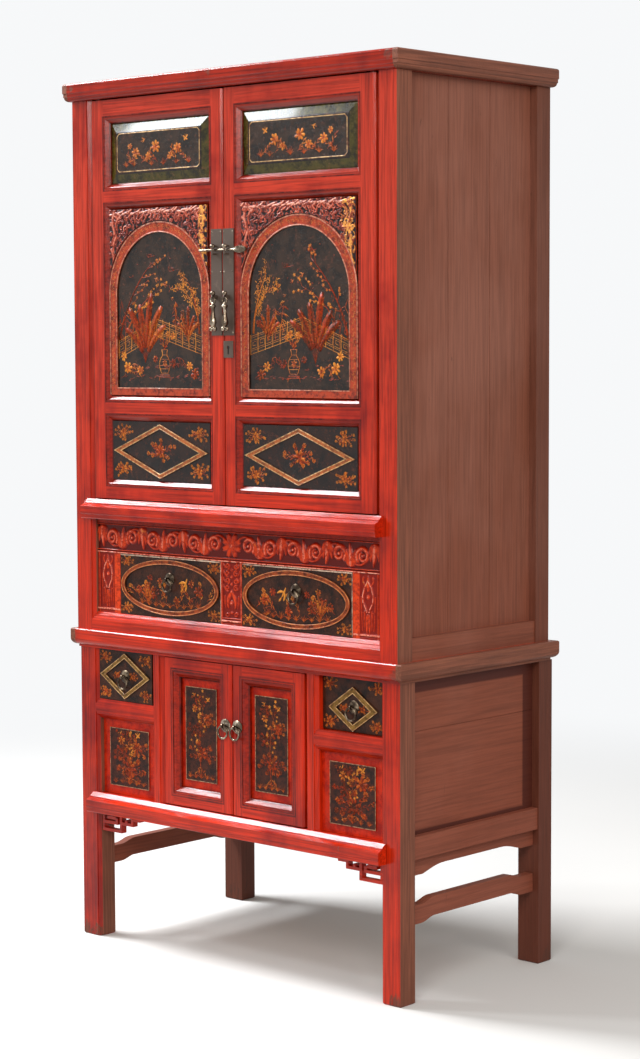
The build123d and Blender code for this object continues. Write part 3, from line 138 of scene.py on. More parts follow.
class Finish(Nodes):
    """A material and the nodes that make it, on Object coordinates."""

    def __init__(self, name, **constants):
        self.material = bpy.data.materials.new(name)
        self.material.use_nodes = True
        super().__init__(self.material.node_tree)
        self.shader = self.tree.nodes["Principled BSDF"]
        for socket, value in constants.items():
            self.shader.inputs[socket.replace("_", " ")].default_value = value
        self.place = self.node("TexCoord", out="Object")
        self.x, self.y, self.z = (
            self.node("SeparateXYZ", inputs=[self.place], out=axis) for axis in "XYZ"
        )

    def feed(self, socket, value):
        """Links a value to a socket of the shader."""
        self.tree.links.new(value.socket, self.shader.inputs[socket])

    def mix(self, first, second, share):
        """Colour between two colours."""
        sockets = {0: share, 6: opaque(first), 7: opaque(second)}
        return self.node("Mix", {"data_type": "RGBA"}, sockets, out=2)

    def tint(self, colour, factor):
        """Colour made lighter or darker by a value."""
        grey = self.node("CombineColor", inputs=[factor, factor, factor])
        settings = {"data_type": "RGBA", "blend_type": "MULTIPLY"}
        return self.node("Mix", settings, {0: 1.0, 6: opaque(colour), 7: grey}, out=2)

    def scaled(self, scale):
        """The place times a scale: one number, or one for each axis, in cycles per metre."""
        axes = np.broadcast_to(scale, 3).tolist()
        return self.node("VectorMath", {"operation": "MULTIPLY"}, [self.place, axes])

    def noise(self, scale, detail, rough, twist=0.0):
        """Cloudy noise, stretched along an axis whose scale is smaller."""
        sockets = {
            "Vector": self.scaled(scale),
            "Scale": 1.0,
            "Detail": detail,
            "Roughness": rough,
            "Distortion": twist,
        }
        return self.node("TexNoise", inputs=sockets)

    def cell_edges(self, scale):
        """Distance to the nearest edge between the cells of an irregular pattern."""
        sockets = {"Vector": self.scaled(scale), "Scale": 1.0}
        return self.node("TexVoronoi", {"feature": "DISTANCE_TO_EDGE"}, sockets)

    def bump(self, height, deep):
        """Feeds a height, in units of deep metres, to the shader's normal."""
        sockets = {"Strength": 1.0, "Distance": deep, "Height": height}
        self.feed("Normal", self.node("Bump", inputs=sockets))

    def outside(self, across, start, end, bottom, top):
        """How far a point lies outside a rectangle of across and z; negative inside it."""
        away = abs(across - (start + end) / 2) - (end - start) / 2
        return away.most(abs(self.z - (bottom + top) / 2) - (top - bottom) / 2)

    def between(self, axis, low, high, soft=0.0004):
        """Mask of the slab between two planes."""
        return axis.fit(low - soft, low + soft) * axis.fit(high - soft, high + soft, 1.0, 0.0)


def finish_grain(finish, upright, fore_and_aft=False):
    """Fine and broad grain, upright where the mask is 1 and level elsewhere.

    Each is a noise with many cycles per metre across the grain and few along it. Level grain
    runs across the cabinet, or from front to back where fore_and_aft is set.
    """
    grains = []
    for across, along, *form in ((210.0, 6.0, 5.0, 0.65, 0.3), (46.0, 3.0, 3.0, 0.55, 0.8)):
        standing = finish.noise((across, across, along), *form)
        axes = (across, along, across) if fore_and_aft else (along, across, across)
        grains.append(standing * upright + finish.noise(axes, *form) * (1 - upright))
    return grains


def rgb(red, green, blue):
    """Linear colour from values of 0 to 255 on a display's curve."""
    return tuple(float(((value / 255 + 0.055) / 1.055) ** 2.4) for value in (red, green, blue))


RED_DEEP = rgb(150, 20, 8)
RED_BRIGHT = rgb(214, 48, 14)
RED_PALE = rgb(196, 74, 54)
# painted shade for the crevices along the mouldings
GROOVE_SHADE = rgb(54, 10, 6)
WORN_WOOD = rgb(92, 62, 48)
SIDE_BROWN = rgb(134, 80, 60)
# painted highlight on the rubbed ridges of the carving
RUBBED_RIDGE_HIGHLIGHT = rgb(252, 186, 160)


def red_lacquer(
    name, upright, brown=None, lines=(), mouldings=(), paler_above=0.0, patches=(), tint_scale=1.0
):
    """Red lacquer over wood: grain, cloudy deep and bright red, dark lines of painted shade along
    the grooves, wear and a gloss coat.

    brown is a mask for faces in plain brown paint. lines are dark lines of painted shade that
    follow a rectangle: (left, right, bottom, top, distance outside it), and mouldings are
    rectangles whose inner slope, 13 mm wide, is darkened as painted shade. patches are worn
    places: (x, z, reach).
    """
    finish = Finish(name, Coat_Roughness=0.06, Specular_IOR_Level=0.2)
    standing = upright(finish)
    fine, broad = finish_grain(finish, standing)
    cloud = finish.noise((7.0, 7.0, 5.0), 4.0, 0.6)
    colour = finish.mix(RED_DEEP, RED_BRIGHT, cloud.fit(0.25, 0.58))
    # paler, pinker red towards the top
    if paler_above:
        share = finish.z.fit(0.75, 1.5, 0.0, paler_above) * cloud.fit(0.2, 0.6)
        colour = finish.mix(colour, RED_PALE, share)
    shade = fine.fit(0.32, 0.62, 0.56 * tint_scale, 1.04 * tint_scale) * broad.fit(0.25, 0.6, 0.76, 1.02)
    # painted shade: the inner slope of each moulding is darkened
    for rectangle in mouldings:
        slope = finish.outside(finish.x, *rectangle)
        shade = shade * (1 - slope.fit(-0.0137, -0.012) * slope.fit(-0.002, 0.0, 1.0, 0.0) * 0.34)
    colour = finish.tint(colour, shade)
    rubbed = finish.noise((30.0, 30.0, 12.0), 6.0, 0.75, 0.6)
    foot = finish.z.fit(0.008, 0.05, 0.22, 0.0)
    worn = (rubbed + foot).fit(0.67, 0.77)
    for across, up, reach in patches:
        away = abs(finish.x - across) / reach + abs(finish.z - up) / (reach * 0.8)
        worn = worn.most((away.fit(0.3, 1.5, 0.3, 0.0) + rubbed - 0.3).fit(0.3, 0.6) * 0.8)
    wood = finish.tint(WORN_WOOD, fine.fit(0.3, 0.7, 0.55, 1.5))
    colour = finish.mix(colour, wood, worn * 0.85)
    # painted shade: dark lines along the mouldings, where shade gathers in the crevices
    for *rectangle, gap in lines:
        away = abs(finish.outside(finish.x, *rectangle) - gap)
        groove = away.fit(0.0008, 0.0024, 0.95, 0.0) * rubbed.fit(0.35, 0.6, 1.0, 0.6)
        colour = finish.mix(colour, GROOVE_SHADE, groove)
    if brown:
        side = brown(finish)
        side_grain = finish_grain(finish, standing, True)[0].fit(0.3, 0.7, 0.62, 1.2)
        paint = finish.tint(SIDE_BROWN, side_grain * cloud.fit(0.2, 0.7, 0.8, 1.05))
        colour = finish.mix(colour, paint, side)
        worn = worn.most(side)
    finish.feed("Base Color", colour)
    finish.feed("Coat Weight", 0.08 - worn * 0.08)
    finish.feed("Roughness", (cloud * 0.08 + fine * 0.14 + 0.03 + worn * 0.35).least(0.8))
    finish.bump(fine * 0.8 + broad * 0.8, 0.0005)
    return finish.material


def brown_paint(name, upright, tint_scale=1.0, border=None, fore_and_aft=True):
    """Matt reddish brown paint over boards, worn darker along the grain; depth darkens it.

    border gives the panel's limits (front, back, bottom, top), along which a dark band is
    painted as the shade in its recess.
    """
    finish = Finish(name, Specular_IOR_Level=0.2)
    fine, broad = finish_grain(finish, upright(finish), fore_and_aft)
    cloud = finish.noise((3.0, 3.0, 2.0), 4.0, 0.6)
    colour = finish.mix(rgb(132, 76, 56), rgb(150, 96, 78), cloud.fit(0.3, 0.65))
    colour = finish.mix(colour, rgb(146, 72, 50), finish.z.fit(0.2, 1.1, 0.55, 0.0))
    shade = fine.fit(0.3, 0.65, 0.8 * tint_scale, 1.06 * tint_scale) * broad.fit(0.2, 0.6, 0.84, 1.0)
    colour = finish.tint(colour, shade)
    if border:
        inside = finish.outside(finish.y, *border)
        # painted shade: a dark band inside the panel's edges, where the recess is shaded
        colour = finish.mix(colour, rgb(58, 16, 10), inside.fit(-0.011, -0.006, 0.0, 0.8))
    scuff = finish.noise((60.0, 60.0, 14.0), 6.0, 0.75)
    foot = finish.z.fit(0.0, 0.09, 0.14, 0.0)
    worn = (scuff + foot).fit(0.64, 0.76)
    finish.feed("Base Color", finish.mix(colour, rgb(70, 48, 38), worn * 0.75))
    finish.feed("Roughness", cloud * 0.15 + 0.52)
    finish.bump(fine * 0.8 + broad * 0.7, 0.0005)
    return finish.material


def bare_wood(name, upright, fore_and_aft=False):
    """Bare aged softwood: growth rings along the grain, dust in the pores."""
    finish = Finish(name, Specular_IOR_Level=0.25)
    fine, broad = finish_grain(finish, upright(finish), fore_and_aft)
    rings = (broad * 14.0).math("SINE") * 0.5 + 0.5
    share = rings.fit(0.1, 0.9) * 0.6 + fine * 0.4
    colour = finish.mix((0.20, 0.112, 0.060), (0.40, 0.255, 0.148), share)
    dust = finish.noise(5.0, 4.0, 0.6).fit(0.45, 0.75)
    finish.feed("Base Color", finish.mix(colour, (0.24, 0.19, 0.15), dust * 0.35))
    finish.feed("Roughness", fine * 0.15 + 0.62)
    finish.bump(fine * 0.8 + rings * 0.3, 0.0006)
    return finish.material


def old_metal(name, dark, light, worn, rough, metal=1.0):
    """Old brass or iron: patina over a lighter metal that handling has rubbed through."""
    finish = Finish(name, Metallic=metal)
    patina = finish.noise(55.0, 5.0, 0.6)
    fine = finish.noise(700.0, 3.0, 0.6)
    share = patina.fit(0.62 - 0.32 * worn, 0.8 - 0.2 * worn)
    finish.feed("Base Color", finish.mix(dark, light, share * fine.fit(0.3, 0.6, 0.6, 1.0)))
    finish.feed("Roughness", patina * 0.3 + rough - 0.1)
    finish.bump(patina * 0.6 + fine * 0.3, 0.00025)
    return finish.material


def carved(name, ground, flank, crown, gilt, gilding, coat, outer=None):
    """Lacquered carving coloured by its own height as painted light and shade: a ground darkened
    as shade in the hollows, lit flanks, bright crowns and painted highlights on rubbed ridges.

    outer gives the middles of two fields (x either way) and how far to the right of its middle
    the gilding of each gets thicker.
    """
    finish = Finish(name, Coat_Weight=coat, Coat_Roughness=0.06, Specular_IOR_Level=0.12)
    rise = finish.node("Attribute", {"attribute_name": "rise"}, out="Fac")
    dirt = finish.noise(130.0, 5.0, 0.7)
    patch = finish.noise((17.0, 17.0, 23.0), 4.0, 0.6)
    # painted shade and light: darker in the hollows, brighter up the flanks to the crowns
    colour = finish.mix(ground, flank, rise.fit(0.12, 0.5) * dirt.fit(0.3, 0.5, 0.6, 1.0))
    colour = finish.mix(colour, crown, rise.fit(0.55, 0.95) * dirt.fit(0.36, 0.6, 0.25, 1.0))
    # painted highlight: pale lines along the highest ridges, which are also rubbed
    colour = finish.mix(colour, RUBBED_RIDGE_HIGHLIGHT, rise.fit(0.89, 1.0) * dirt.fit(0.42, 0.54) * 0.8)
    if outer:
        middle, edge = outer
        away = finish.x - ((finish.x > 0) * 2 - 1) * middle
        patch = patch - 0.1 + away.fit(edge - 0.014, edge + 0.008, 0.0, 0.42)
    leafed = patch.fit(0.68 - 0.3 * gilding, 0.78 - 0.2 * gilding) * rise.fit(0.45, 0.8)
    leafed = leafed * dirt.fit(0.42, 0.55)
    finish.feed("Base Color", finish.mix(colour, gilt, leafed))
    finish.feed("Metallic", leafed * 0.6)
    finish.feed("Roughness", dirt * 0.35 + 0.2)
    finish.bump(dirt, 0.0006)
    return finish.material


def gilt_strokes(name):
    """Gilt paint on black: each stroke has its own tone, and use has rubbed parts away."""
    finish = Finish(name, Specular_IOR_Level=0.12)
    tone = finish.node("Attribute", {"attribute_name": "tone"}, out="Fac")
    wear = finish.noise(210.0, 5.0, 0.7)
    patch = finish.noise(24.0, 4.0, 0.6)
    kept = (tone * 0.35 + wear - patch * 0.4 + 0.1).fit(0.3, 0.68)
    gold = (tone + wear * 0.5 - 0.25).fit(0.25, 0.85)
    bright = finish.mix(rgb(176, 56, 20), rgb(226, 144, 54), gold)
    finish.feed("Base Color", finish.mix(rgb(62, 32, 18), bright, kept))
    finish.feed("Metallic", kept * 0.2)
    finish.feed("Roughness", wear * 0.3 + 0.22)
    finish.bump(wear, 0.0003)
    return finish.material


def rubbed_bead(name, dark, light, metal=0.0):
    """Raised bead, pale where it is rubbed and dirty in between."""
    finish = Finish(name, Coat_Weight=0.2, Coat_Roughness=0.12, Specular_IOR_Level=0.3)
    wear = finish.noise(120.0, 5.0, 0.7)
    share = wear.fit(0.36, 0.6)
    finish.feed("Base Color", finish.mix(dark, light, share))
    finish.feed("Metallic", share * metal)
    finish.feed("Roughness", wear * 0.3 + 0.2)
    finish.bump(wear, 0.0003)
    return finish.material


def mottled(finish, dark, light, scale, low=0.35, high=0.62):
    """Colour that wanders between two paints, with the scale in cycles per metre."""
    return finish.mix(dark, light, finish.noise(scale, 5.0, 0.7).fit(low, high))


def panel_finish(finish, colour, gloss, streaks=0.0):
    """Shared end of every painted panel: crackle, dust and a gloss that breaks up."""
    cracks = finish.cell_edges((260.0, 260.0, 170.0)).fit(0.0, 0.05, 1.0, 0.0)
    dirt = finish.noise(90.0, 5.0, 0.75)
    age = finish.noise((14.0, 14.0, 9.0), 4.0, 0.6)
    colour = finish.tint(colour, 1.0 - cracks * 0.35 * age.fit(0.45, 0.6))
    finish.feed("Base Color", finish.mix(colour, rgb(118, 58, 32), dirt.fit(0.54, 0.76) * 0.65))
    finish.feed("Roughness", (dirt * 0.35 + age * 0.2 + gloss - 0.12).least(0.9))
    finish.bump(dirt * 0.8 - cracks * 0.4 + streaks, 0.0003)
    return finish.material


def upper_door_paint():
    """Olive bevels and black field above, red arch band, black garden, ochre lozenge band.

    A plane across the cabinet parts each raised band from its field, and one the panels' backs.
    """
    finish = Finish(
        "upper_door_paint", Coat_Weight=0.46, Coat_Roughness=0.05, Specular_IOR_Level=0.12
    )
    forward = finish.y * -1
    above_arch, below_arch = finish.z > 1.605, finish.z < 1.158
    field, band, behind = forward > 0.2300, forward > 0.2305, forward < 0.2175
    bevel = mottled(finish, rgb(38, 34, 10), rgb(84, 76, 22), 45.0)
    black = mottled(finish, rgb(18, 12, 8), rgb(54, 36, 24), 30.0)
    red = mottled(finish, rgb(104, 28, 13), rgb(190, 66, 32), 75.0, 0.34, 0.56)
    umber = mottled(finish, rgb(12, 5, 2), rgb(44, 20, 9), 30.0)
    ochre = mottled(finish, rgb(118, 62, 26), rgb(196, 104, 46), 80.0)
    colour = finish.mix(finish.mix(black, red, band), finish.mix(bevel, black, field), above_arch)
    colour = finish.mix(colour, finish.mix(umber, ochre, band), below_arch)
    colour = finish.mix(colour, rgb(96, 30, 18), behind)
    return panel_finish(finish, colour, 0.08, finish.noise((9.0, 150.0, 150.0), 3.0, 0.6))


def banded_paint(name, plane, field, band):
    """One paint on what stands in front of a plane (metres forward) and another behind it."""
    finish = Finish(name, Coat_Weight=0.12, Coat_Roughness=0.08, Specular_IOR_Level=0.12)
    behind = mottled(finish, *field, scale=35.0)
    front = mottled(finish, *band, scale=80.0)
    return panel_finish(finish, finish.mix(behind, front, (finish.y * -1) > plane), 0.22)


def upright_all(finish):
    """Upright grain all over."""
    return 1.0


def level_all(finish):
    """Level grain all over."""
    return 0.0


def door_rails(span):
    """Level grain on a door's rails, between its stiles; upright grain on the stiles."""
    return lambda finish: 1 - finish.between(finish.x, *span)


def give(material, *nodes):
    """Puts one material on every slot of the named CAD nodes."""
    for node in nodes:
        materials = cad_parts[node].data.materials
        materials.clear()
        materials.append(material)


def facing_sideways(finish):
    """Outer and inner sides of the front posts and legs."""
    x = abs(finish.x)
    return (x > 0.4566).most(x < 0.4044)


def hidden_faces(limit, back, top):
    """A frame's two ends, limit metres out from the middle, its rear face and its top."""
    return lambda finish: (abs(finish.x) > limit).most(finish.y > back).most(finish.z > top)


def openings(span, levels):
    """Rectangles of a door's openings: one span across by several spans up."""
    return [(*span, *level) for level in levels]


def shade_lines(rectangles, gaps):
    """Dark lines of painted shade that follow each rectangle at each distance outside it."""
    return [(*rectangle, gap) for rectangle in rectangles for gap in gaps]


red_up = red_lacquer("red_lacquer_upright", upright_all)
# painted shade: the front posts and legs get a darker copy of the lacquer, for the light that falls
# off on them
red_posts = red_lacquer("red_lacquer_posts", upright_all, facing_sideways, paler_above=0.4, tint_scale=0.96)
red_level = red_lacquer("red_lacquer_level", level_all)
cornice_wear = (
    (-0.462, 1.838, 0.02), (-0.445, 1.838, 0.012), (0.445, 1.84, 0.02), (-0.03, 1.842, 0.012),
)
red_cornice = red_lacquer(
    "red_lacquer_cornice", level_all, hidden_faces(0.4585, 0.25, 1.8495),
    patches=cornice_wear, tint_scale=0.66,
)
red_waist = red_lacquer(
    "red_lacquer_waist", level_all, hidden_faces(0.4585, 0.25, 1.0),
    patches=((0.455, 0.655, 0.02), (-0.462, 0.66, 0.014)),
)
brown_up = brown_paint("brown_paint_upright", upright_all)
brown_level = brown_paint("brown_paint_level", level_all, border=(-0.186, 0.19, 0.330, 0.62))
brown_posts = brown_paint("brown_paint_posts", upright_all, 0.72)
brown_rails = brown_paint("brown_paint_rails", level_all, 0.98)
brown_legs = brown_paint("brown_paint_legs", upright_all, 0.5)
brown_boards = brown_paint("brown_paint_boards", level_all, 0.98, fore_and_aft=False)
wood_up = bare_wood("bare_wood_upright", upright_all)
wood_level = bare_wood("bare_wood_level", level_all)
wood_deep = bare_wood("bare_wood_fore_and_aft", level_all, True)
plate_metal = old_metal("plate_metal", rgb(84, 68, 57), rgb(112, 92, 80), 0.3, 0.5, 0.3)
dark_brass = old_metal("dark_brass", rgb(64, 52, 42), rgb(176, 156, 130), 0.5, 0.24)
bright_brass = old_metal("bright_brass", rgb(96, 82, 68), rgb(206, 190, 168), 0.5, 0.2)
carved_red = carved(
    "carved_red", rgb(86, 15, 7), rgb(150, 30, 12), rgb(234, 72, 24), rgb(220, 150, 60),
    gilding=0.12, coat=0.14,
)
carved_gilt = carved(
    "carved_gilt", rgb(30, 8, 4), rgb(98, 20, 10), rgb(208, 78, 42), rgb(232, 158, 66),
    gilding=0.3, coat=0.45, outer=(0.198, 0.118),
)
gilt_paint = gilt_strokes("gilt_paint")
# partly painted reflection: the arch beads' pale red stands in for their gloss, as well as rubbing
worn_sheen_bead = rubbed_bead("worn_red_bead_sheen", rgb(150, 52, 32), rgb(222, 150, 118))
pale_gilt = rubbed_bead("pale_gilt_bead", rgb(124, 70, 34), rgb(224, 180, 120), 0.3)
orange_gilt = rubbed_bead("orange_gilt_bead", rgb(140, 60, 26), rgb(214, 130, 66), 0.2)
# painted highlight: pale cream bead for the wide drawers' edges, which are also rubbed
worn_edge_highlight = rubbed_bead("worn_edge_highlight", rgb(170, 90, 60), rgb(236, 216, 190))
# painted shade: near-black for the inside of the keyhole
deep_shade = rubbed_bead("deep_shade", rgb(12, 9, 7), rgb(26, 20, 16))
dark_edge = rubbed_bead("dark_edge", rgb(60, 34, 20), rgb(196, 150, 110))

give(red_posts, "upper_front_posts", "front_legs")
give(red_up, "lower_dividers")
give(red_cornice, "cornice_frame")
give(red_waist, "waist_frame")
give(red_level, "upper_ledge_rail", "lower_ledge_rail", "drawer_sill_rail", "small_drawer_rails")
give(red_level, "carved_frieze", "carved_uprights", "fret_brackets")
give(brown_up, "upper_side_panels")
give(brown_level, "lower_side_panels")
give(brown_posts, "upper_rear_posts")
give(brown_legs, "rear_legs")
give(brown_rails, "side_rails", "side_aprons", "side_stretchers")
give(brown_boards, "frame_boards")
give(wood_up, "back_panels")
give(wood_level, "back_rails", "drawer_deck", "cupboard_shelf", "lower_floor")
give(wood_deep, "bearers_and_runners")

dark_field = (rgb(26, 14, 9), rgb(68, 36, 22))
orange_band = (rgb(84, 34, 16), rgb(170, 76, 34))
olive_band = (rgb(84, 58, 22), rgb(150, 112, 50))
lower_red = (rgb(158, 22, 7), rgb(214, 48, 16))
lower_field = (rgb(30, 13, 8), rgb(70, 32, 20))
upper_paint = upper_door_paint()
wide_paint = banded_paint("wide_drawer_paint", 0.2285, dark_field, orange_band)
lower_paint = banded_paint("lower_panel_paint", 0.2152, lower_red, lower_field)
small_planes = {"left": 0.2272, "right": 0.2137}  # the left front stands further out
upper_spans = {"left": (-0.362, -0.04225), "right": (0.02625, 0.362)}
upper_levels = ((1.6195, 1.7735), (1.1725, 1.5915), (0.9925, 1.1445))
lower_spans = {"left": (-0.172, -0.03025), "right": (0.03025, 0.172)}
for side in SIDES:
    frames = openings(upper_spans[side], upper_levels)
    upper_red = red_lacquer(
        f"red_lacquer_upper_door_{side}", door_rails(upper_spans[side]), paler_above=0.4,
        lines=shade_lines(frames, (0.001, -0.0128)), mouldings=frames,
    )
    frames = openings(lower_spans[side], ((0.3475, 0.6065),))
    lower_door_red = red_lacquer(
        f"red_lacquer_lower_door_{side}", door_rails(lower_spans[side]),
        lines=shade_lines(frames, (0.001, 0.0058, -0.0128)), mouldings=frames,
    )
    plane = small_planes[side]
    small = banded_paint(f"small_drawer_paint_{side}", plane, dark_field, olive_band)
    for material, *nodes in (
        (upper_red, "upper_door_frame"),
        (lower_door_red, "lower_door_frame"),
        (upper_paint, "upper_door_panels"),
        (lower_paint, "lower_door_panel"),
        (wide_paint, "wide_drawer_front"),
        (small, "small_drawer_front"),
        (wood_deep, "wide_drawer_box", "small_drawer_box"),
        (plate_metal, "lock_plate"),
        (bright_brass, "drop_pull", "lower_door_rosette", "lower_door_ring"),
        (dark_brass, "wide_drawer_rosette", "wide_drawer_ring"),
        (dark_brass, "small_drawer_rosette", "small_drawer_ring"),
    ):
        give(material, *(f"{node}_{side}" for node in nodes))
give(lower_paint, "fixed_panels")
give(bright_brass, "lock_pin")


# ---------------------------------------------------------------- carving and painting tools
def new_piece(name, points, faces, material, body, slot, values=None, smooth=True):
    """Mesh piece at the origin from arrays of points (mm) and faces, riding on a body."""
    mesh = bpy.data.meshes.new(name)
    mesh.from_pydata(points * MM, [], faces)
    mesh.materials.append(material)
    mesh.polygons.foreach_set("use_smooth", np.full(len(mesh.polygons), smooth))
    for key, numbers in (values or {}).items():
        mesh.attributes.new(key, "FLOAT", "POINT").data.foreach_set("value", numbers)
    mesh.validate()
    piece = bpy.data.objects.new(name, mesh)
    bpy.context.scene.collection.objects.link(piece)
    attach(piece, body)
    return piece


def grid_faces(rows, columns):
    """Quads of a rows by columns grid of points, row after row."""
    corner = (np.arange(rows - 1)[:, None] * columns + np.arange(columns - 1)[None, :]).ravel()
    return np.stack([corner, corner + 1, corner + columns + 1, corner + columns], 1)


def wall_faces(count, size, closed=False):
    """Quads round a bar of count sections with size points each; its ends are flat if open."""
    here = np.arange(count if closed else count - 1)[:, None] * size
    there = (here + size) % (count * size)
    side = np.arange(size)[None, :]
    after = (side + 1) % size
    quads = np.stack([here + side, here + after, there + after, there + side], 2)
    faces = quads.reshape(-1, 4).tolist()
    if not closed:
        faces.append(list(range(size - 1, -1, -1)))
        faces.append(list(range((count - 1) * size, count * size)))
    return faces


def joined(parts):
    """One list of points and one of faces from several (points, faces) pairs."""
    points, faces, start = [], [], 0
    for more_points, more_faces in parts:
        points.append(more_points)
        faces += [[start + index for index in face] for face in more_faces]
        start += len(more_points)
    return np.concatenate(points), faces


def slab(across, up, front, back):
    """Closed slab: a front surface on a grid (rows go up), flat walls and a flat back.

    across, up and front are arrays of x, z and y by row and column; back is the y of the back.
    """
    rows, columns = across.shape
    points = np.stack([across, front, up], 2).reshape(-1, 3)
    count = len(points)
    low = np.stack([across[0], np.full(columns, back), up[0]], 1)
    high = np.stack([across[-1], np.full(columns, back), up[-1]], 1)
    faces = grid_faces(rows, columns).tolist()
    step = np.arange(columns - 1)
    first, last, top = count, count + columns, (rows - 1) * columns
    faces += np.stack([step + 1, step, first + step, first + step + 1], 1).tolist()
    faces += np.stack([top + step, top + step + 1, last + step + 1, last + step], 1).tolist()
    faces += np.stack([first + step + 1, first + step, last + step, last + step + 1], 1).tolist()
    left = list(range(0, count, columns))
    right = list(range(count - 1, columns - 2, -columns))
    faces.append(left + [last, first])
    faces.append(right + [first + columns - 1, last + columns - 1])
    return np.concatenate([points, low, high]), faces


def travelled(path):
    """Distance run along a path up to each of its points."""
    return np.concatenate([[0], np.cumsum(np.hypot(*np.diff(path, axis=0).T))])


def at_distance(path, run, places):
    """Points of a path at given distances, on straight lines between its own points."""
    return np.stack([np.interp(places, run, path[:, axis]) for axis in (0, 1)], -1)


def sweep(start, angle, length, turn, count=25):
    """Points of a curve whose heading turns evenly from angle to angle + turn."""
    share = (np.arange(count - 1) + 0.5) / (count - 1)
    heading = angle + turn * share
    steps = length / (count - 1) * np.stack([np.cos(heading), np.sin(heading)], 1)
    return np.concatenate([[start], start + np.cumsum(steps, 0)])


def coil(centre, wide, narrow, begin, turns, count):
    """Points of a spiral round a centre; its radius goes from wide to narrow as share ** 0.8."""
    share = np.linspace(0, 1, count)
    radius = wide + (narrow - wide) * share**0.8
    angle = begin + 2 * np.pi * turns * share
    return np.array(centre) + radius[:, None] * np.stack([np.cos(angle), np.sin(angle)], 1)


class Carving:
    """Relief made of round-backed cuts; the height is the highest of them all, in mm.

    A cut at distance d from its path, with half width w, stands rise * sqrt(1 - (d / w)^2) high,
    less a groove along the path and another, the rim, at seven tenths of the half width.
    """

    def __init__(self):
        self.cuts = []

    def add(self, path, wide, narrow, rise, groove=0.0, rim=0.0):
        """Cut along a path, its half width going from wide to narrow over its length."""
        share = np.linspace(0, 1, len(path))
        self.cuts.append((path, wide + (narrow - wide) * share, rise, groove, rim))

    def boss(self, place, half, rise, rim=0.0):
        """Round knob: a cut of one point."""
        self.add(np.array([place]), half, half, rise, 0.0, rim)

    def leaf(self, start, angle, length, turn, half, rise, groove=0.5, rim=0.0):
        """Leaf: widest at a third of its length, pointed at its tip."""
        path = sweep(start, angle, length, turn, int(length / 0.9) + 12)
        share = np.linspace(0, 1, len(path))
        width = half * np.sin(np.pi * (0.12 + 0.86 * share) ** 0.75) + 0.35
        self.cuts.append((path, width, rise, groove, rim))

    def height(self, across, up):
        """Height at points (mm): round back over each cut, less a groove along its middle."""
        total = np.zeros(across.shape)
        for path, half, rise, groove, rim in self.cuts:
            reach = half.max()
            near = (
                (across > path[:, 0].min() - reach)
                & (across < path[:, 0].max() + reach)
                & (up > path[:, 1].min() - reach)
                & (up < path[:, 1].max() + reach)
            )
            if not near.any():
                continue
            far = (across[near][:, None] - path[None, :, 0]) ** 2
            far = far + (up[near][:, None] - path[None, :, 1]) ** 2
            share = (far / half[None, :] ** 2).min(1)
            level = rise * np.sqrt(np.clip(1 - share, 0, None))
            level -= groove * np.exp(-far.min(1) / 0.35) * (level > 0)
            level -= rim * np.exp(-(((np.sqrt(share) - 0.7) / 0.12) ** 2)) * (level > 0)
            total[near] = np.maximum(total[near], level)
        return total


def strip(path, section, closed=False):
    """A closed section of (across, out) points carried along a path of (x, z) points.

    The section stands on the path's left normal; corners are mitred.
    """
    path = np.asarray(path, float)
    ahead = np.roll(path, -1, 0) - path
    behind = path - np.roll(path, 1, 0)
    if not closed:
        ahead[-1], behind[0] = behind[-1], ahead[0]
    ahead = ahead / np.linalg.norm(ahead, axis=1, keepdims=True)
    behind = behind / np.linalg.norm(behind, axis=1, keepdims=True)
    middle = ahead + behind
    middle = middle / np.linalg.norm(middle, axis=1, keepdims=True)
    reach = 1 / np.clip((middle * ahead).sum(1), 0.3, 1)
    normal = np.stack([-middle[:, 1], middle[:, 0]], 1) * reach[:, None]
    section = np.asarray(section, float)
    plan = path[:, None, :] + normal[:, None, :] * section[None, :, :1]
    out = np.broadcast_to(-section[None, :, 1], plan.shape[:2])
    points = np.stack([plan[..., 0], out, plan[..., 1]], 2).reshape(-1, 3)
    return points, wall_faces(len(path), len(section), closed)


def bead_section(half, rise, sunk=0.2):
    """Half-round section, sunk a little into what it stands on, left side first."""
    angle = np.linspace(np.pi, 0, 7)
    arc = np.stack([-half * np.cos(angle), rise * np.sin(angle)], 1)
    return np.concatenate([[(half, -sunk)], arc, [(-half, -sunk)]])


STATIONS = 9  # points along each painted stroke
ALONG = np.linspace(0, 1, STATIONS)
FORMS = {  # width along a stroke, as a share of its full width
    "leaf": np.sin(np.pi * (0.05 + 0.9 * ALONG)) ** 0.8,
    "petal": np.sin(np.pi * (0.12 + 0.8 * ALONG**1.5)) ** 0.6,
    "stem": 1 - 0.6 * ALONG,
    "line": np.ones(STATIONS),
}


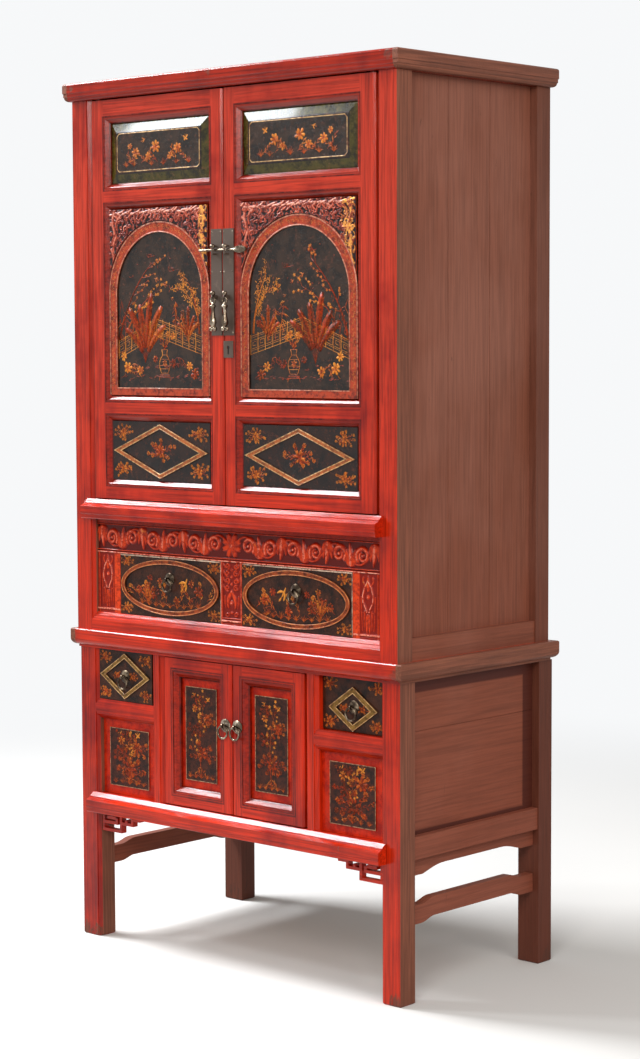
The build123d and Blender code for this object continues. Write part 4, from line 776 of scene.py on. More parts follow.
class Picture:
    """Painting in raised gilt: every stroke is a low closed ridge on a panel, in mm.

    half says how far from the centre paint may reach, across and up; strokes past it are left out.
    """

    def __init__(self, centre, surface, seed, half=(np.inf, np.inf)):
        self.centre, self.surface, self.half = centre, surface, half
        self.random = np.random.default_rng(seed)
        self.paths, self.widths, self.tones = [], [], []

    def stroke(self, points, width, tone, shape="leaf"):
        """Stroke along points of (x, z) from the picture's centre, at even distances."""
        points = np.asarray(points, float)
        run = travelled(points)
        path = at_distance(points, run, ALONG * run[-1])
        tone = np.clip(tone + self.random.normal(0, 0.07), 0, 1)
        if (np.abs(path).max(axis=0) + width / 2 < self.half).all():
            self.paths.append(path)
            self.widths.append(width * FORMS[shape])
            self.tones.append(tone)

    def curve(self, start, angle, length, turn, width, tone, shape="leaf"):
        """Stroke whose heading turns evenly."""
        self.stroke(sweep(start, angle, length, turn, 13), width, tone, shape)

    def flower(self, place, size, tone, petals=7):
        """Full flower: three rings of petals round a seeded heart."""
        turn = self.random.uniform(0, 6.28)
        rings = ((petals, 0.34, 1.0, 0.62), (petals - 1, 0.14, 0.66, 0.42), (4, 0.0, 0.34, 0.26))
        for ring, (count, near, far, wide) in enumerate(rings):
            for number in range(count):
                jog = self.random.uniform(-0.15, 0.15)
                angle = turn + ring * 0.5 + (number + jog) * 6.283 / count
                reach = size * self.random.uniform(0.85, 1.08)
                start = np.array(place) + near * reach * np.array([np.cos(angle), np.sin(angle)])
                bow = self.random.uniform(-0.5, 0.5)
                length = (far - near) * reach
                self.curve(start, angle, length, bow, wide * reach, tone - 0.16 * ring, "petal")

    def blossom(self, place, size, tone):
        """Small five-petalled blossom."""
        turn = self.random.uniform(0, 6.28)
        for angle in turn + np.arange(5) * 1.2566:
            self.curve(place, angle, size, 0.2, size * 0.75, tone, "petal")

    def spray(self, start, angle, length, turn, leaves, size, tone, tip=None):
        """Stem with leaves to both sides and, if asked, a flower at its tip."""
        path = sweep(start, angle, length, turn)
        self.stroke(path, size * 0.14 + 0.5, tone - 0.1, "stem")
        for number in range(leaves):
            place = int(4 + number * 20 / leaves)
            side = 1 if number % 2 else -1
            heading = angle + turn * place / 24 + side * self.random.uniform(0.5, 1.0)
            reach = size * self.random.uniform(0.7, 1.1)
            bend = -side * self.random.uniform(0.2, 0.9)
            shade = tone + self.random.uniform(-0.12, 0.2)
            self.curve(path[place], heading, reach, bend, size * 0.34, shade)
        if tip:
            self.flower(path[-1], tip, tone + 0.25)

    def tuft(self, place, size, blades, tone):
        """Tuft of grass that fans upwards."""
        for number in range(blades):
            lean = (number / (blades - 1) - 0.5) * 2.2
            reach = size * self.random.uniform(0.6, 1.0)
            self.curve(place, UPWARD - lean * 0.5, reach, -lean * 0.8, size * 0.09 + 0.5, tone)

    def bamboo(self, place, tall, lean, tone):
        """Bamboo: jointed stalk with drooping clusters of leaves."""
        joints = 6
        heading = UPWARD - lean
        point = np.array(place, float)
        for joint in range(joints):
            step = tall / joints * np.array([np.cos(heading), np.sin(heading)])
            self.stroke([point, point + step * 0.93], 1.9 - 0.16 * joint, tone, "line")
            point = point + step
            heading += self.random.uniform(-0.07, 0.07)
            for _ in range(5 if joint else 0):
                side = self.random.choice([-1, 1])
                angle = -UPWARD + side * self.random.uniform(0.3, 1.5)
                reach = self.random.uniform(9, 17)
                start = point + self.random.uniform(-3, 3, 2)
                shade = tone + self.random.uniform(-0.1, 0.3)
                self.curve(start, angle, reach, -side * 0.4, 2.3, shade)

    def rock(self, place, wide, tall, tone=0.42):
        """Garden rock: a jagged outline, inner clefts and dabs of light."""
        turns = np.linspace(0, np.pi, 9)
        bumps = self.random.uniform(0.72, 1.12, 9)
        shell = np.stack([-np.cos(turns) * wide * bumps, np.sin(turns) * tall * bumps], 1)
        shell = shell + place
        for first, second in zip(shell[:-1], shell[1:]):
            middle = (first + second) / 2 + self.random.uniform(-1.5, 1.5, 2)
            self.stroke([first, middle, second], self.random.uniform(1.4, 3.0), tone + 0.1)
        for _ in range(14):
            start = np.array(place) + self.random.uniform(-0.6, 0.6, 2) * (wide, 0)
            start = start + (0, self.random.uniform(0.05, 0.7) * tall)
            angle, length = self.random.uniform(0.6, 2.5), self.random.uniform(4, 10)
            self.curve(start, angle, length, self.random.uniform(-1, 1), 2.4, tone)

    def fence(self, start, end, tall, tone):
        """Railing with a key pattern between its rails, straight from start to end."""
        start, end = np.array(start, float), np.array(end, float)
        run = end - start
        bays = max(2, int(round(np.hypot(*run) / 21)))
        key = ((0.12, 0.28), (0.88, 0.28), (0.88, 0.64), (0.3, 0.64), (0.3, 0.44), (0.66, 0.44))

        def spot(along, up):
            """Point at start + run * along, raised by tall * up."""
            return start + run * along + np.array([0.0, tall * up])

        for up, width in ((0.0, 1.3), (0.18, 0.9), (0.74, 0.9), (1.0, 1.6), (0.9, 0.8)):
            self.stroke([spot(0, up), spot(1, up)], width, tone, "line")
        for bay in range(bays + 1):
            at = bay / bays
            self.stroke([spot(at, -0.04), spot(at, 1.1)], 1.8, tone + 0.08, "line")
            if bay == bays:
                break
            corners = [spot(at + 1 / bays * along, up) for along, up in key]
            for first, second in zip(corners[:-1], corners[1:]):
                self.stroke([first, second], 1.0, tone - 0.05, "line")

    def tree(self, start, angle, length, turn, size, tone, blossoms=True):
        """Bent branch with side twigs that carry blossoms or tufts of leaves."""
        path = sweep(start, angle, length, turn)
        self.stroke(path[:13], size, tone - 0.05, "stem")
        self.stroke(path[11:], size * 0.55, tone - 0.05, "stem")
        for place in (7, 10, 13, 16, 19, 22, 24):
            side = self.random.choice([-1, 1])
            heading = angle + turn * place / 24 + side * self.random.uniform(0.5, 1.0)
            reach = length * self.random.uniform(0.14, 0.26)
            twig = sweep(path[place], heading, reach, -side * 0.6, 13)
            self.stroke(twig, size * 0.3, tone, "stem")
            for spot in (5, 8, 12):
                jog = twig[spot] + self.random.uniform(-3, 3, 2)
                if blossoms:
                    self.blossom(jog, self.random.uniform(2.4, 4.0), tone + 0.3)
                    continue
                for _ in range(5):
                    point = jog + self.random.uniform(-4, 4, 2)
                    away = self.random.uniform(0, 6.28)
                    self.curve(point, away, 5.0, 0.5, 1.8, tone + 0.15)

    def plantain(self, place, tall, leaves, tone):
        """Plantain: broad ribbed leaves that rise from one root and bend outwards."""
        for number in range(leaves):
            lean = (number / (leaves - 1) - 0.5) * 1.5
            reach = tall * (1.0 - 0.35 * abs(lean)) * self.random.uniform(0.85, 1.05)
            root, bend = UPWARD - lean * 0.35, -lean * 1.1
            path = sweep(place, root, reach, bend)
            self.stroke(path[:14], 1.8, tone + 0.1, "stem")
            shade = tone + self.random.uniform(-0.08, 0.2)
            self.stroke(path[6:], tall * 0.15, shade, "petal")
            for spot in range(9, 24, 3):
                for turn in (-0.8, 0.8):
                    heading = root + bend * spot / 24 + turn
                    self.curve(path[spot], heading, tall * 0.09, -turn * 0.4, 1.0, tone + 0.45)

    def petals(self, wide, low, high, count, tone):
        """Loose petals scattered in the air."""
        for _ in range(count):
            place = (self.random.uniform(-wide, wide), self.random.uniform(low, high))
            angle = self.random.uniform(0, 6.28)
            self.curve(place, angle, self.random.uniform(2.5, 5.5), 0.5, 2.2, tone, "petal")

    def ground(self, wide, level, count, tone=0.25):
        """Short level dashes and pebbles in front of a fence."""
        for number in range(count):
            x = (number / (count - 1) - 0.5) * 2 * wide + self.random.uniform(-4, 4)
            z = level + self.random.uniform(-4, 4)
            for _ in range(3):
                start = (x + self.random.uniform(-6, 6), z + self.random.uniform(-2.5, 2.5))
                angle, length = self.random.uniform(-0.3, 0.3), self.random.uniform(5, 12)
                self.curve(start, angle, length, 0.2, 2.0, tone)

    def cloud(self, place, size, tone):
        """Curled cloud: nested arcs with a tail."""
        place = np.array(place, float)
        for step, share in enumerate((1.0, 0.72, 0.45)):
            middle = place + (step * size * 0.3, 0)
            arc = coil(middle, size * share, size * 0.2, 2.6, 0.8, 25)
            self.stroke(arc, 1.5, tone, "line")
        self.curve(place - (size * 0.8, size * 0.5), 0.0, size * 3.2, 0.25, 1.8, tone)

    def bird(self, place, size, heading, tone=0.7):
        """Small bird in flight."""
        place = np.array(place, float)
        self.curve(place, heading, size, 0.3, size * 0.28, tone)
        for lift, reach in ((1.9, 0.9), (-2.2, 0.75)):
            start = place + 0.55 * size * np.array([np.cos(heading), np.sin(heading)])
            self.curve(start, heading + lift, size * reach, 0.9 * np.sign(lift), size * 0.3, tone)
        self.curve(place, heading + np.pi - 0.2, size * 0.5, 0.3, size * 0.16, tone - 0.1)
        self.curve(place, heading + np.pi + 0.25, size * 0.45, -0.3, size * 0.14, tone - 0.1)

    def butterfly(self, place, size, tone=0.75):
        """Butterfly with four wings, a body and feelers."""
        for angle, reach in ((0.7, 1.0), (2.4, 1.0), (-0.6, 0.7), (-2.5, 0.7)):
            self.curve(place, angle, size * reach, 0.3, size * 0.5, tone, "petal")
        half = np.array([0, size * 0.4])
        self.curve(place - half, UPWARD, size * 0.9, 0.1, size * 0.14, tone - 0.2)
        for turn in (-0.9, 0.9):
            self.curve(place + half, UPWARD, size * 0.7, turn, 0.6, tone)

    def vase(self, place, tall, tone):
        """Vase on a low stand with a bunch of flowers."""

        def at(across, up):
            """Point in shares of the vase's height from the middle of its foot."""
            return place[0] + across * tall, place[1] + up * tall

        outline = ((0.20, 0.02), (0.33, 0.34), (0.27, 0.60), (0.11, 0.78), (0.17, 1.0))
        for side in (-1, 1):
            self.stroke([at(side * half, up) for half, up in outline], 2.0, tone + 0.1, "line")
        for half, up in (outline[0], (0.28, 0.2), *outline[1:]):
            self.stroke([at(-half, up), at(half, up)], 1.2, tone, "line")
        self.flower(at(0, 0.44), tall * 0.15, tone, 6)
        for half, up in ((0.3, -0.06), (0.36, -0.14)):
            self.stroke([at(-half, up), at(half, up)], 2.0, tone - 0.1, "line")
        for side in (-1, 1):
            self.stroke([at(side * 0.3, -0.14), at(side * 0.34, -0.3)], 1.6, tone - 0.1, "line")
        for angle in (1.0, 1.35, 1.75, 2.15):
            bend = self.random.uniform(-0.3, 0.3)
            reach = tall * self.random.uniform(0.5, 0.8)
            self.spray(at(0, 1), angle, reach, bend, 5, 8.0, tone - 0.1, self.random.uniform(6, 9))

    def build(self):
        """Points, faces and tones: each stroke's section is a triangle with its crown in front."""
        paths = np.array(self.paths)
        half = np.maximum(np.array(self.widths), 0.3)[..., None] / 2
        ahead = np.gradient(paths, axis=1)
        ahead /= np.maximum(np.linalg.norm(ahead, axis=2, keepdims=True), 1e-6)
        side = np.stack([-ahead[..., 1], ahead[..., 0]], 2) * half
        count = len(paths)
        rough = self.random.uniform(0, 0.12, (count, 1))
        crown = -0.22 - 0.05 * np.minimum(half[..., 0], 3.0) - rough
        level = np.stack([np.full(crown.shape, 0.12), crown, np.full(crown.shape, 0.12)], 2)
        plan = np.stack([paths + side, paths, paths - side], 2) + np.array(self.centre)
        points = np.stack([plan[..., 0], level + self.surface, plan[..., 1]], 3).reshape(-1, 3)
        start = (np.arange(count) * STATIONS * 3)[:, None] + np.arange(STATIONS - 1)[None, :] * 3
        start = start.ravel()
        quads = [
            np.stack([start + first, start + second, start + second + 3, start + first + 3], 1)
            for first, second in ((0, 1), (1, 2), (2, 0))
        ]
        head = np.arange(count) * STATIONS * 3
        tail = head + (STATIONS - 1) * 3
        caps = [np.stack([head, head + 2, head + 1], 1), np.stack([tail + 2, tail, tail + 1], 1)]
        faces = np.concatenate(quads).tolist() + np.concatenate(caps).tolist()
        return points, faces, np.repeat(self.tones, STATIONS * 3)


def lathe(centre, profile, count=24):
    """Closed turned form: a profile of (radius, height) carried round an upright axis (mm).

    A point is (radius * cos(angle), radius * sin(angle), height) from the centre.
    """
    angle = np.arange(count) * 2 * np.pi / count
    radius, height = np.array(profile, float).T
    ring = np.stack([np.cos(angle), np.sin(angle)], 1)
    level = np.broadcast_to(height[:, None, None], (len(height), count, 1))
    points = np.concatenate([radius[:, None, None] * ring[None], level], 2).reshape(-1, 3)
    return points + np.array(centre), wall_faces(len(height), count)


def upright_ring(centre, half, radius, count=24, sides=12):
    """Round bar bent into a closed ring that stands across the cabinet (mm).

    half gives the ring's half width and half height. Each section is a circle square to the
    ring's own line: line + radius * (cos(angle) * outward - sin(angle) * fore and aft).
    """
    turn = np.linspace(0, 2 * np.pi, count, endpoint=False)
    reach = np.stack([half[0] * np.cos(turn), np.zeros(count), half[1] * np.sin(turn)], 1)
    line = np.array(centre) + reach
    ahead = np.roll(line, -1, 0) - np.roll(line, 1, 0)
    ahead /= np.linalg.norm(ahead, axis=1, keepdims=True)
    side = np.cross(ahead, (0.0, 1.0, 0.0))
    side /= np.linalg.norm(side, axis=1, keepdims=True)
    other = np.cross(side, ahead)
    angle = (np.arange(sides) * 2 * np.pi / sides)[None, :, None]
    points = line[:, None] + radius * np.cos(angle) * side[:, None]
    points = (points - radius * np.sin(angle) * other[:, None]).reshape(-1, 3)
    faces = [face[1:] + face[:1] for face in wall_faces(count, sides, closed=True)]
    return points, faces


# ---------------------------------------------------------------- openings of the tall doors (mm)
UPPER_OPEN = {"left": (-348.3, -55.95), "right": (39.95, 348.3)}  # clear of the mouldings
TOP_OPEN = (1633.2, 1759.8)
ARCH_OPEN = (1186.2, 1577.8)
LOZENGE_OPEN = (1006.2, 1130.8)
LOZENGE_HALF = (LOZENGE_OPEN[1] - LOZENGE_OPEN[0]) / 2
ARCH_SIDE, ARCH_BAND, ARCH_HEAD, ARCH_FOOT = 19.0, 23.0, 28.0, 16.0
# how far behind the door's face lie the top field, the arch's border, the lozenge and the fields
TOP_SUNK, BORDER_SUNK, LOZENGE_SUNK, FIELD_SUNK = 6.0, 5.0, 4.5, 8.0


def leaf_middle(side):
    """Middle and half width of a tall door's openings."""
    left, right = UPPER_OPEN[side]
    return (left + right) / 2, (right - left) / 2


def arch_line(side, grow, low, count=61):
    """Points up the left of an arch, over its round head and down its right."""
    middle, half = leaf_middle(side)
    radius = half - ARCH_SIDE
    spring = ARCH_OPEN[1] - ARCH_HEAD - ARCH_BAND - radius
    angle = np.linspace(np.pi, 0, count)
    reach = radius + grow
    head = np.stack([middle + reach * np.cos(angle), spring + reach * np.sin(angle)], 1)
    return np.concatenate([[(head[0, 0], low)], head, [(head[-1, 0], low)]])


# ---------------------------------------------------------------- carved work
CARVED_DEEP = 5.6  # from the boards' face to the ground of their carving
CARVED_BACK = 18.0  # from the boards' face to their back
SPANDREL_RISE = 3.6


def off_middle(side, near, far):
    """Span from near to far off the middle of the cabinet, to the left (-1) or right (1)."""
    return tuple(sorted((side * near, side * far)))


def scroll_bay(carving, middle, level, lean):
    """Roll of the running scroll: a fat band that winds in to an eye."""
    spiral = coil((middle, level), 17.5, 7.5, UPWARD - lean * 2.2, lean * 1.2, 120)
    carving.add(spiral, 6.6, 3.8, 5.3, 0.0, 0.8)
    carving.boss((middle, level), 5.0, 5.6, 0.8)


def leaf_fan(carving, middle, level, lean):
    """Broad leaf between two rolls, with two lobes to each side."""
    root = (middle, level - lean * 21)
    for turn, length, half in ((-1.2, 24, 6.6), (1.2, 24, 6.6), (-0.6, 35, 7.2), (0.6, 35, 7.2)):
        carving.leaf(root, lean * UPWARD + turn, length, -turn * 0.9, half, 4.9, 0.5, 0.6)
    carving.leaf(root, lean * UPWARD, 44, 0.2 * lean, 7.6, 5.5, 0.8, 0.8)


def level_bars(up, bars):
    """Height of level fillets given as (low, high, height), with softened edges."""
    total = np.zeros(up.shape)
    for low, high, rise in bars:
        edge = np.clip(np.minimum(up - low, high - up) / 0.9, 0, 1)
        total = np.maximum(total, rise * np.sqrt(edge * (2 - edge)))
    return total


def carved_board(carving, x, z, bars, pillars, pitch):
    """Carved board in the place of a plain one, on a grid of the given pitch."""
    columns = int((x[1] - x[0]) / pitch) + 1
    rows = int((z[1] - z[0]) / pitch) + 1
    across, up = np.meshgrid(np.linspace(*x, columns), np.linspace(*z, rows))
    rise = carving.height(across, up)
    rise = np.maximum(rise, level_bars(up, bars))
    rise = np.maximum(rise, level_bars(across, pillars))
    rise = np.clip(rise, 0, CARVED_DEEP)
    rough = 0.12 * np.sin(across * 0.9 + 3 * np.sin(up * 0.31)) * np.sin(up * 1.1)
    front = SURROUND_FACE + CARVED_DEEP - np.clip(rise + rough, 0, CARVED_DEEP)
    points, faces = slab(across, up, front, SURROUND_FACE + CARVED_BACK)
    return points, faces, np.concatenate([(rise / CARVED_DEEP).ravel(), np.zeros(2 * columns)])


def frieze():
    """Running scroll from a middle flower to both ends, under a plain band and over a fillet."""
    carving = Carving()
    level, first, pitch = 881.0, 48.0, 62.0
    for angle in np.arange(8) * np.pi / 4 + np.pi / 8:
        away = np.array([1.15 * np.cos(angle), np.sin(angle)])
        root = np.array([0, level]) + away * 6
        carving.leaf(root, np.arctan2(away[1], away[0]), 20, 0.3, 8.2, 4.8, 0.4, 0.7)
    carving.boss((0, level), 9.5, 5.6, 1.4)
    for number in range(6):
        middle = first + pitch * number
        lean = -1 if number % 2 else 1
        scroll_bay(carving, middle, level + lean, lean)
        leaf_fan(carving, middle + pitch / 2, level, lean)
    reach = np.linspace(16, 402, 420)
    wave = level + 19.5 * np.cos((reach - first) * np.pi / pitch + 0.5)
    carving.add(np.stack([reach, wave], 1), 3.0, 3.0, 4.6, 0.0, 0.5)
    carving.cuts += [(path * (-1, 1), *rest) for path, *rest in carving.cuts]
    bars = [
        (845, 923, 1.1), (906.5, 909.5, 4.8), (909.5, 923, 3.9), (852, 854.5, 5.0), (845, 850, 5.6),
    ]
    points, faces, rise = carved_board(carving, (-404, 404), (847, 921), bars, [], 0.95)
    board = new_piece(
        "carved_frieze_scroll", points, faces, carved_red, "carcass", "gilt_carving", {"rise": rise}
    )
    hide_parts("carved_frieze")


def bud_strip(side):
    """Board with a long bud, beside the left (-1) or right (1) wide drawer."""
    carving = Carving()
    centre = side * 372.0
    bud = np.array([(0, 832), (9, 818), (13.5, 803), (12.5, 789), (6, 778), (3, 770)])
    for lean in (-1, 1):
        outer = at_distance(bud * (lean, 1) + (centre, 0), range(6), np.linspace(0, 1, 110) * 5)
        carving.add(outer, 3.0, 2.4, 5.6, 0.0, 0.4)
        root, heading = (centre + lean * 2.2, 764), -UPWARD + lean * 0.12
        carving.leaf(root, heading, 38, -lean * 0.2, 5.2, 5.0, 0.5, 0.6)
        cap = sweep((centre + lean * 12, 838), -UPWARD + lean * 0.5, 20, -lean * 1.8, 40)
        carving.add(cap, 3.2, 1.6, 4.8)
        stem = sweep((centre + lean * 18, 800), -UPWARD, 66, -lean * 0.1, 90)
        carving.add(stem, 2.6, 2.0, 4.6)
        root, heading = (centre + lean * 9, 772), -UPWARD + lean * 0.1
        carving.leaf(root, heading, 40, -lean * 0.2, 3.6, 4.6, 0.4)
    carving.boss((centre, 800), 8.0, 5.2, 1.6)
    carving.boss((centre, 800), 3.4, 5.6)
    tie = np.array([(centre - 13, 769), (centre, 765.5), (centre + 13, 769)])
    carving.add(tie, 2.0, 2.0, 5.4)
    carving.leaf((centre, 813), UPWARD, 30, 0.05, 6.0, 5.2, 0.6)
    pillars = [
        (*off_middle(side, 332.0, 351.0), 5.0),
        (*off_middle(side, 350.0, 396.0), 2.4),
        (*off_middle(side, 396.5, 399.5), 5.0),
        (*off_middle(side, 401.0, 406.0), 3.4),
    ]
    x, bars = off_middle(side, 333.0, 404.0), [(715, 721, 3.6), (722.5, 727.5, 5.4)]
    return carved_board(carving, x, (717, 847), bars, pillars, 0.85)


def middle_upright():
    """Board between the wide drawers: curls down both sides of a row of beads."""
    carving = Carving()
    for lean in (-1, 1):
        for row, level in enumerate((838, 823, 808, 793)):
            turn = lean * (1 if row % 2 else -1)
            curl = coil((lean * 12, level), 6.6, 2.0, 1.2 * lean, turn * 1.2, 40)
            carving.add(curl, 2.6, 1.7, 5.0, 0.0, 0.5)
            hook = sweep((lean * 23, level + 6), -UPWARD, 12, -lean * 1.2)
            carving.add(hook, 2.2, 1.6, 4.6)
        root, heading = (lean * 2.5, 782), -UPWARD + lean * 0.75
        carving.leaf(root, heading, 34, -lean * 1.1, 6.0, 5.2, 0.4, 0.6)
        carving.leaf((lean * 20, 776), -UPWARD, 26, -lean * 0.3, 4.4, 4.6, 0.4)
        carving.add(coil((lean * 13, 738), 5.4, 2.0, 0.5, lean * 1.0, 30), 2.2, 1.6, 4.8)
    carving.boss((0, 762), 8.5, 5.4, 1.4)
    for level in (831, 816, 801, 786, 742):
        carving.boss((0, level), 4.4, 5.4)
    bars = [(715, 720.5, 4.0), (722, 726.5, 5.4), (728.5, 731.5, 4.4)]
    pillars = [(-30, 30, 2.0), (-30, -26.0, 5.2), (26.0, 30, 5.2)]
    return carved_board(carving, (-29, 29), (717, 847), bars, pillars, 0.8)


def uprights():
    """The three carved boards beside and between the wide drawers, as one piece."""
    boards = [bud_strip(-1), bud_strip(1), middle_upright()]
    points, faces = joined([board[:2] for board in boards])
    rise = {"rise": np.concatenate([board[2] for board in boards])}
    piece = new_piece(
        "carved_upright_boards", points, faces, carved_red, "carcass", "gilt_carving", rise
    )
    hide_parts("carved_uprights")


def spandrel_carving(half, radius, spring, seed):
    """Small dense scrolls, a row of buds under the top edge and long stems down both corners."""
    random = np.random.default_rng(seed)
    carving = Carving()
    head = ARCH_OPEN[1]
    for row in range(13):
        for column in range(13):
            x = 3.0 + column * 12.6 + (row % 2) * 6.3 + random.uniform(-2.2, 2.2)
            z = head - 5.0 - row * 11.4 + random.uniform(-2.0, 2.0)
            if x > half - 2 or np.hypot(x, z - spring) < radius - 6:
                continue
            lean = random.choice([-1, 1])
            size = random.uniform(4.2, 6.8)
            begin, turns = random.uniform(0, 6.28), lean * random.uniform(0.7, 1.2)
            spiral = coil((x, z), size, size * 0.3, begin, turns, 36)
            tail = sweep((x, z), random.uniform(0, 6.28), random.uniform(10, 18), lean * 1.8)
            thick = size * random.uniform(0.32, 0.44)
            for flip in (-1, 1):
                carving.add(spiral * (flip, 1), thick, thick * 0.6, random.uniform(2.4, 3.6))
                carving.add(tail * (flip, 1), 2.1, 0.9, random.uniform(2.6, 3.5))
    for place in np.arange(4.0, half - 4, 13.0):
        top = head - random.uniform(6.5, 9.0)
        for flip in (-1, 1):
            turn = random.uniform(-0.8, 0.8)
            bud = sweep((flip * place - 9, top - 2), random.uniform(0.0, 0.4), 20, turn, 30)
            carving.add(bud, 4.6, 2.6, 3.6, 0.0, 0.5)
            bud = sweep((flip * place, top - 6), random.uniform(-2.6, -0.6), 13, -turn, 30)
            carving.add(bud, 3.2, 1.8, 3.4, 0.0, 0.3)
    for flip in (-1, 1):
        for inward, down, angle, length, turn, fat in (
            (16, 5, -1.1, 60, -1.3, 5.6), (34, 16, -0.3, 34, -1.9, 4.8),
            (6, 30, -2.5, 40, 1.7, 5.2), (20, 58, -1.0, 46, -1.0, 5.0),
            (6, 84, -2.2, 44, 1.3, 4.4), (13, 116, -1.3, 46, -0.4, 3.6),
        ):
            stem = sweep((half - inward, head - down), angle, length, turn)
            carving.add(stem * (flip, 1), fat, fat * 0.45, 3.6, 0.5)
    return carving


def spandrels(side, seed):
    """Carved corners over an arch; rows run from the arch's curve to the top edge."""
    middle, half = leaf_middle(side)
    left, right = UPPER_OPEN[side]
    radius = half - ARCH_SIDE + ARCH_BAND + 1.5
    spring = ARCH_OPEN[1] - ARCH_HEAD - radius + 1.5
    rows, columns = 150, 300
    share = np.linspace(0, 1, rows)[:, None]
    across = np.broadcast_to(np.linspace(left + 0.3, right - 0.3, columns), (rows, columns))
    low = spring + np.sqrt(np.clip(radius**2 - (across - middle) ** 2, 0, None))
    up = low + share * (ARCH_OPEN[1] - 0.3 - low)
    carving = spandrel_carving(half, radius, spring, seed)
    rise = np.clip(carving.height(across - middle, up), 0, SPANDREL_RISE)
    face = UPPER_FACE + BORDER_SUNK
    points, faces = slab(across, up, face - 0.1 - rise, face + 0.6)
    flat = np.concatenate([(rise / SPANDREL_RISE).ravel(), np.zeros(2 * columns)])
    name, body = f"arch_spandrels_{side}", f"upper_door_{side}"
    new_piece(name, points, faces, carved_gilt, body, "gilt_carving", {"rise": flat})


# ---------------------------------------------------------------- beads and painted lines
def lines(name, body, surface, runs, material, slot="painted_panel"):
    """Half-round beads on a flat surface: runs of (points, half width, rise, closed)."""
    parts = []
    for path, half, rise, closed in runs:
        points, faces = strip(path, bead_section(half, rise), closed)
        parts.append((points + (0, surface, 0), faces))
    new_piece(name, *joined(parts), material, body, slot)


def box_line(x, z, clip=0.0):
    """Closed rectangle, its corners clipped if asked, walked anticlockwise."""
    (left, right), (low, high) = x, z
    if not clip:
        return [(left, low), (right, low), (right, high), (left, high)]
    return [
        (left + clip, low), (right - clip, low), (right, low + clip), (right, high - clip),
        (right - clip, high), (left + clip, high), (left, high - clip), (left, low + clip),
    ]


def lozenge(centre, half, band):
    """Lozenge drawn in by a band, anticlockwise from its right point."""
    slant = np.hypot(*half)
    a, b = half[0] - band * slant / half[1], half[1] - band * slant / half[0]
    x, z = centre
    return [(x + a, z), (x, z + b), (x - a, z), (x, z - b)]


def oval(centre, half, count=72):
    """Ellipse: centre + (half width * cos(angle), half height * sin(angle)), anticlockwise."""
    angle = np.arange(count) * 2 * np.pi / count
    return np.stack([centre[0] + half[0] * np.cos(angle), centre[1] + half[1] * np.sin(angle)], 1)


def shrink(span, step):
    """Span drawn in at both ends."""
    return (span[0] + step, span[1] - step)


def paint(name, picture, body):
    """Makes a picture one piece, each stroke carrying its tone."""
    points, faces, tones = picture.build()
    new_piece(name, points, faces, gilt_paint, body, "painted_panel", {"tone": tones})


def bunch(picture, place, flower, reach, stems=9, tone=0.45):
    """Flower in a ring of leaves, with buds on stems around it."""
    place = np.array(place, float)
    for number in range(stems):
        angle = number * 6.283 / stems + picture.random.uniform(-0.25, 0.25)
        away = np.array([np.cos(angle), 0.55 * np.sin(angle)])
        length = reach * picture.random.uniform(0.6, 1.0) * np.hypot(*away)
        start, heading = place + away * flower * 0.5, np.arctan2(away[1], away[0])
        turn = picture.random.uniform(-0.7, 0.7)
        shade, tip = tone - 0.15, flower * 0.34
        picture.spray(start, heading, length, turn, 5, reach * 0.24, shade, tip)
    picture.flower(place, flower, tone)


def door_borders(side, seed):
    """Beads round a tall door's painted fields, and the scrolls along its arch."""
    body = f"upper_door_{side}"
    middle, half = leaf_middle(side)
    x, z = shrink(UPPER_OPEN[side], 21.0), shrink(TOP_OPEN, 21.0)
    frame_line = box_line(shrink(x, 2.5), shrink(z, 2.5), 6.0)
    runs = [(frame_line, 0.9, 0.35, True)]
    lines(f"top_border_{side}", body, UPPER_FACE + TOP_SUNK, runs, pale_gilt)

    low = ARCH_OPEN[0] + ARCH_FOOT
    inner = arch_line(side, 1.2, low + 0.5)
    outer = arch_line(side, ARCH_BAND - 1.6, ARCH_OPEN[0] + 1.0)
    floor_line = [(inner[0, 0], low - 1.0), (inner[-1, 0], low - 1.0)]
    surface = UPPER_FACE + BORDER_SUNK
    runs = [(inner, 1.3, 1.0, False), (outer, 1.5, 1.1, False), (floor_line, 1.1, 0.8, False)]
    # the arch beads' pale colour is partly a painted reflection
    lines(f"arch_beads_{side}", body, surface, runs, worn_sheen_bead, "red_lacquer")

    picture = Picture((0, 0), surface, seed + 7)
    guide = arch_line(side, ARCH_BAND * 0.52, ARCH_OPEN[0] + 14, 181)
    run = travelled(guide)
    for place in np.arange(9.0, run[-1] - 6, 12.5):
        spot = at_distance(guide, run, place)
        ahead = at_distance(guide, run, place + 1) - spot
        heading = np.arctan2(ahead[1], ahead[0])
        for turn in (0.6, 0.6 + np.pi):
            picture.curve(spot, heading + turn, 9.0, -3.6, 1.5, 0.55, "line")
        picture.curve(spot + ahead * 6, heading + 1.2, 5.0, 1.0, 1.6, 0.45)
    paint(f"arch_band_pattern_{side}", picture, body)

    centre, reach = (middle, sum(LOZENGE_OPEN) / 2), (half - 5.0, LOZENGE_HALF - 5.0)
    runs = [(lozenge(centre, reach, band), 0.9, 0.6, True) for band in (0.9, 8.2)]
    lines(f"diamond_beads_{side}", body, UPPER_FACE + LOZENGE_SUNK, runs, pale_gilt)


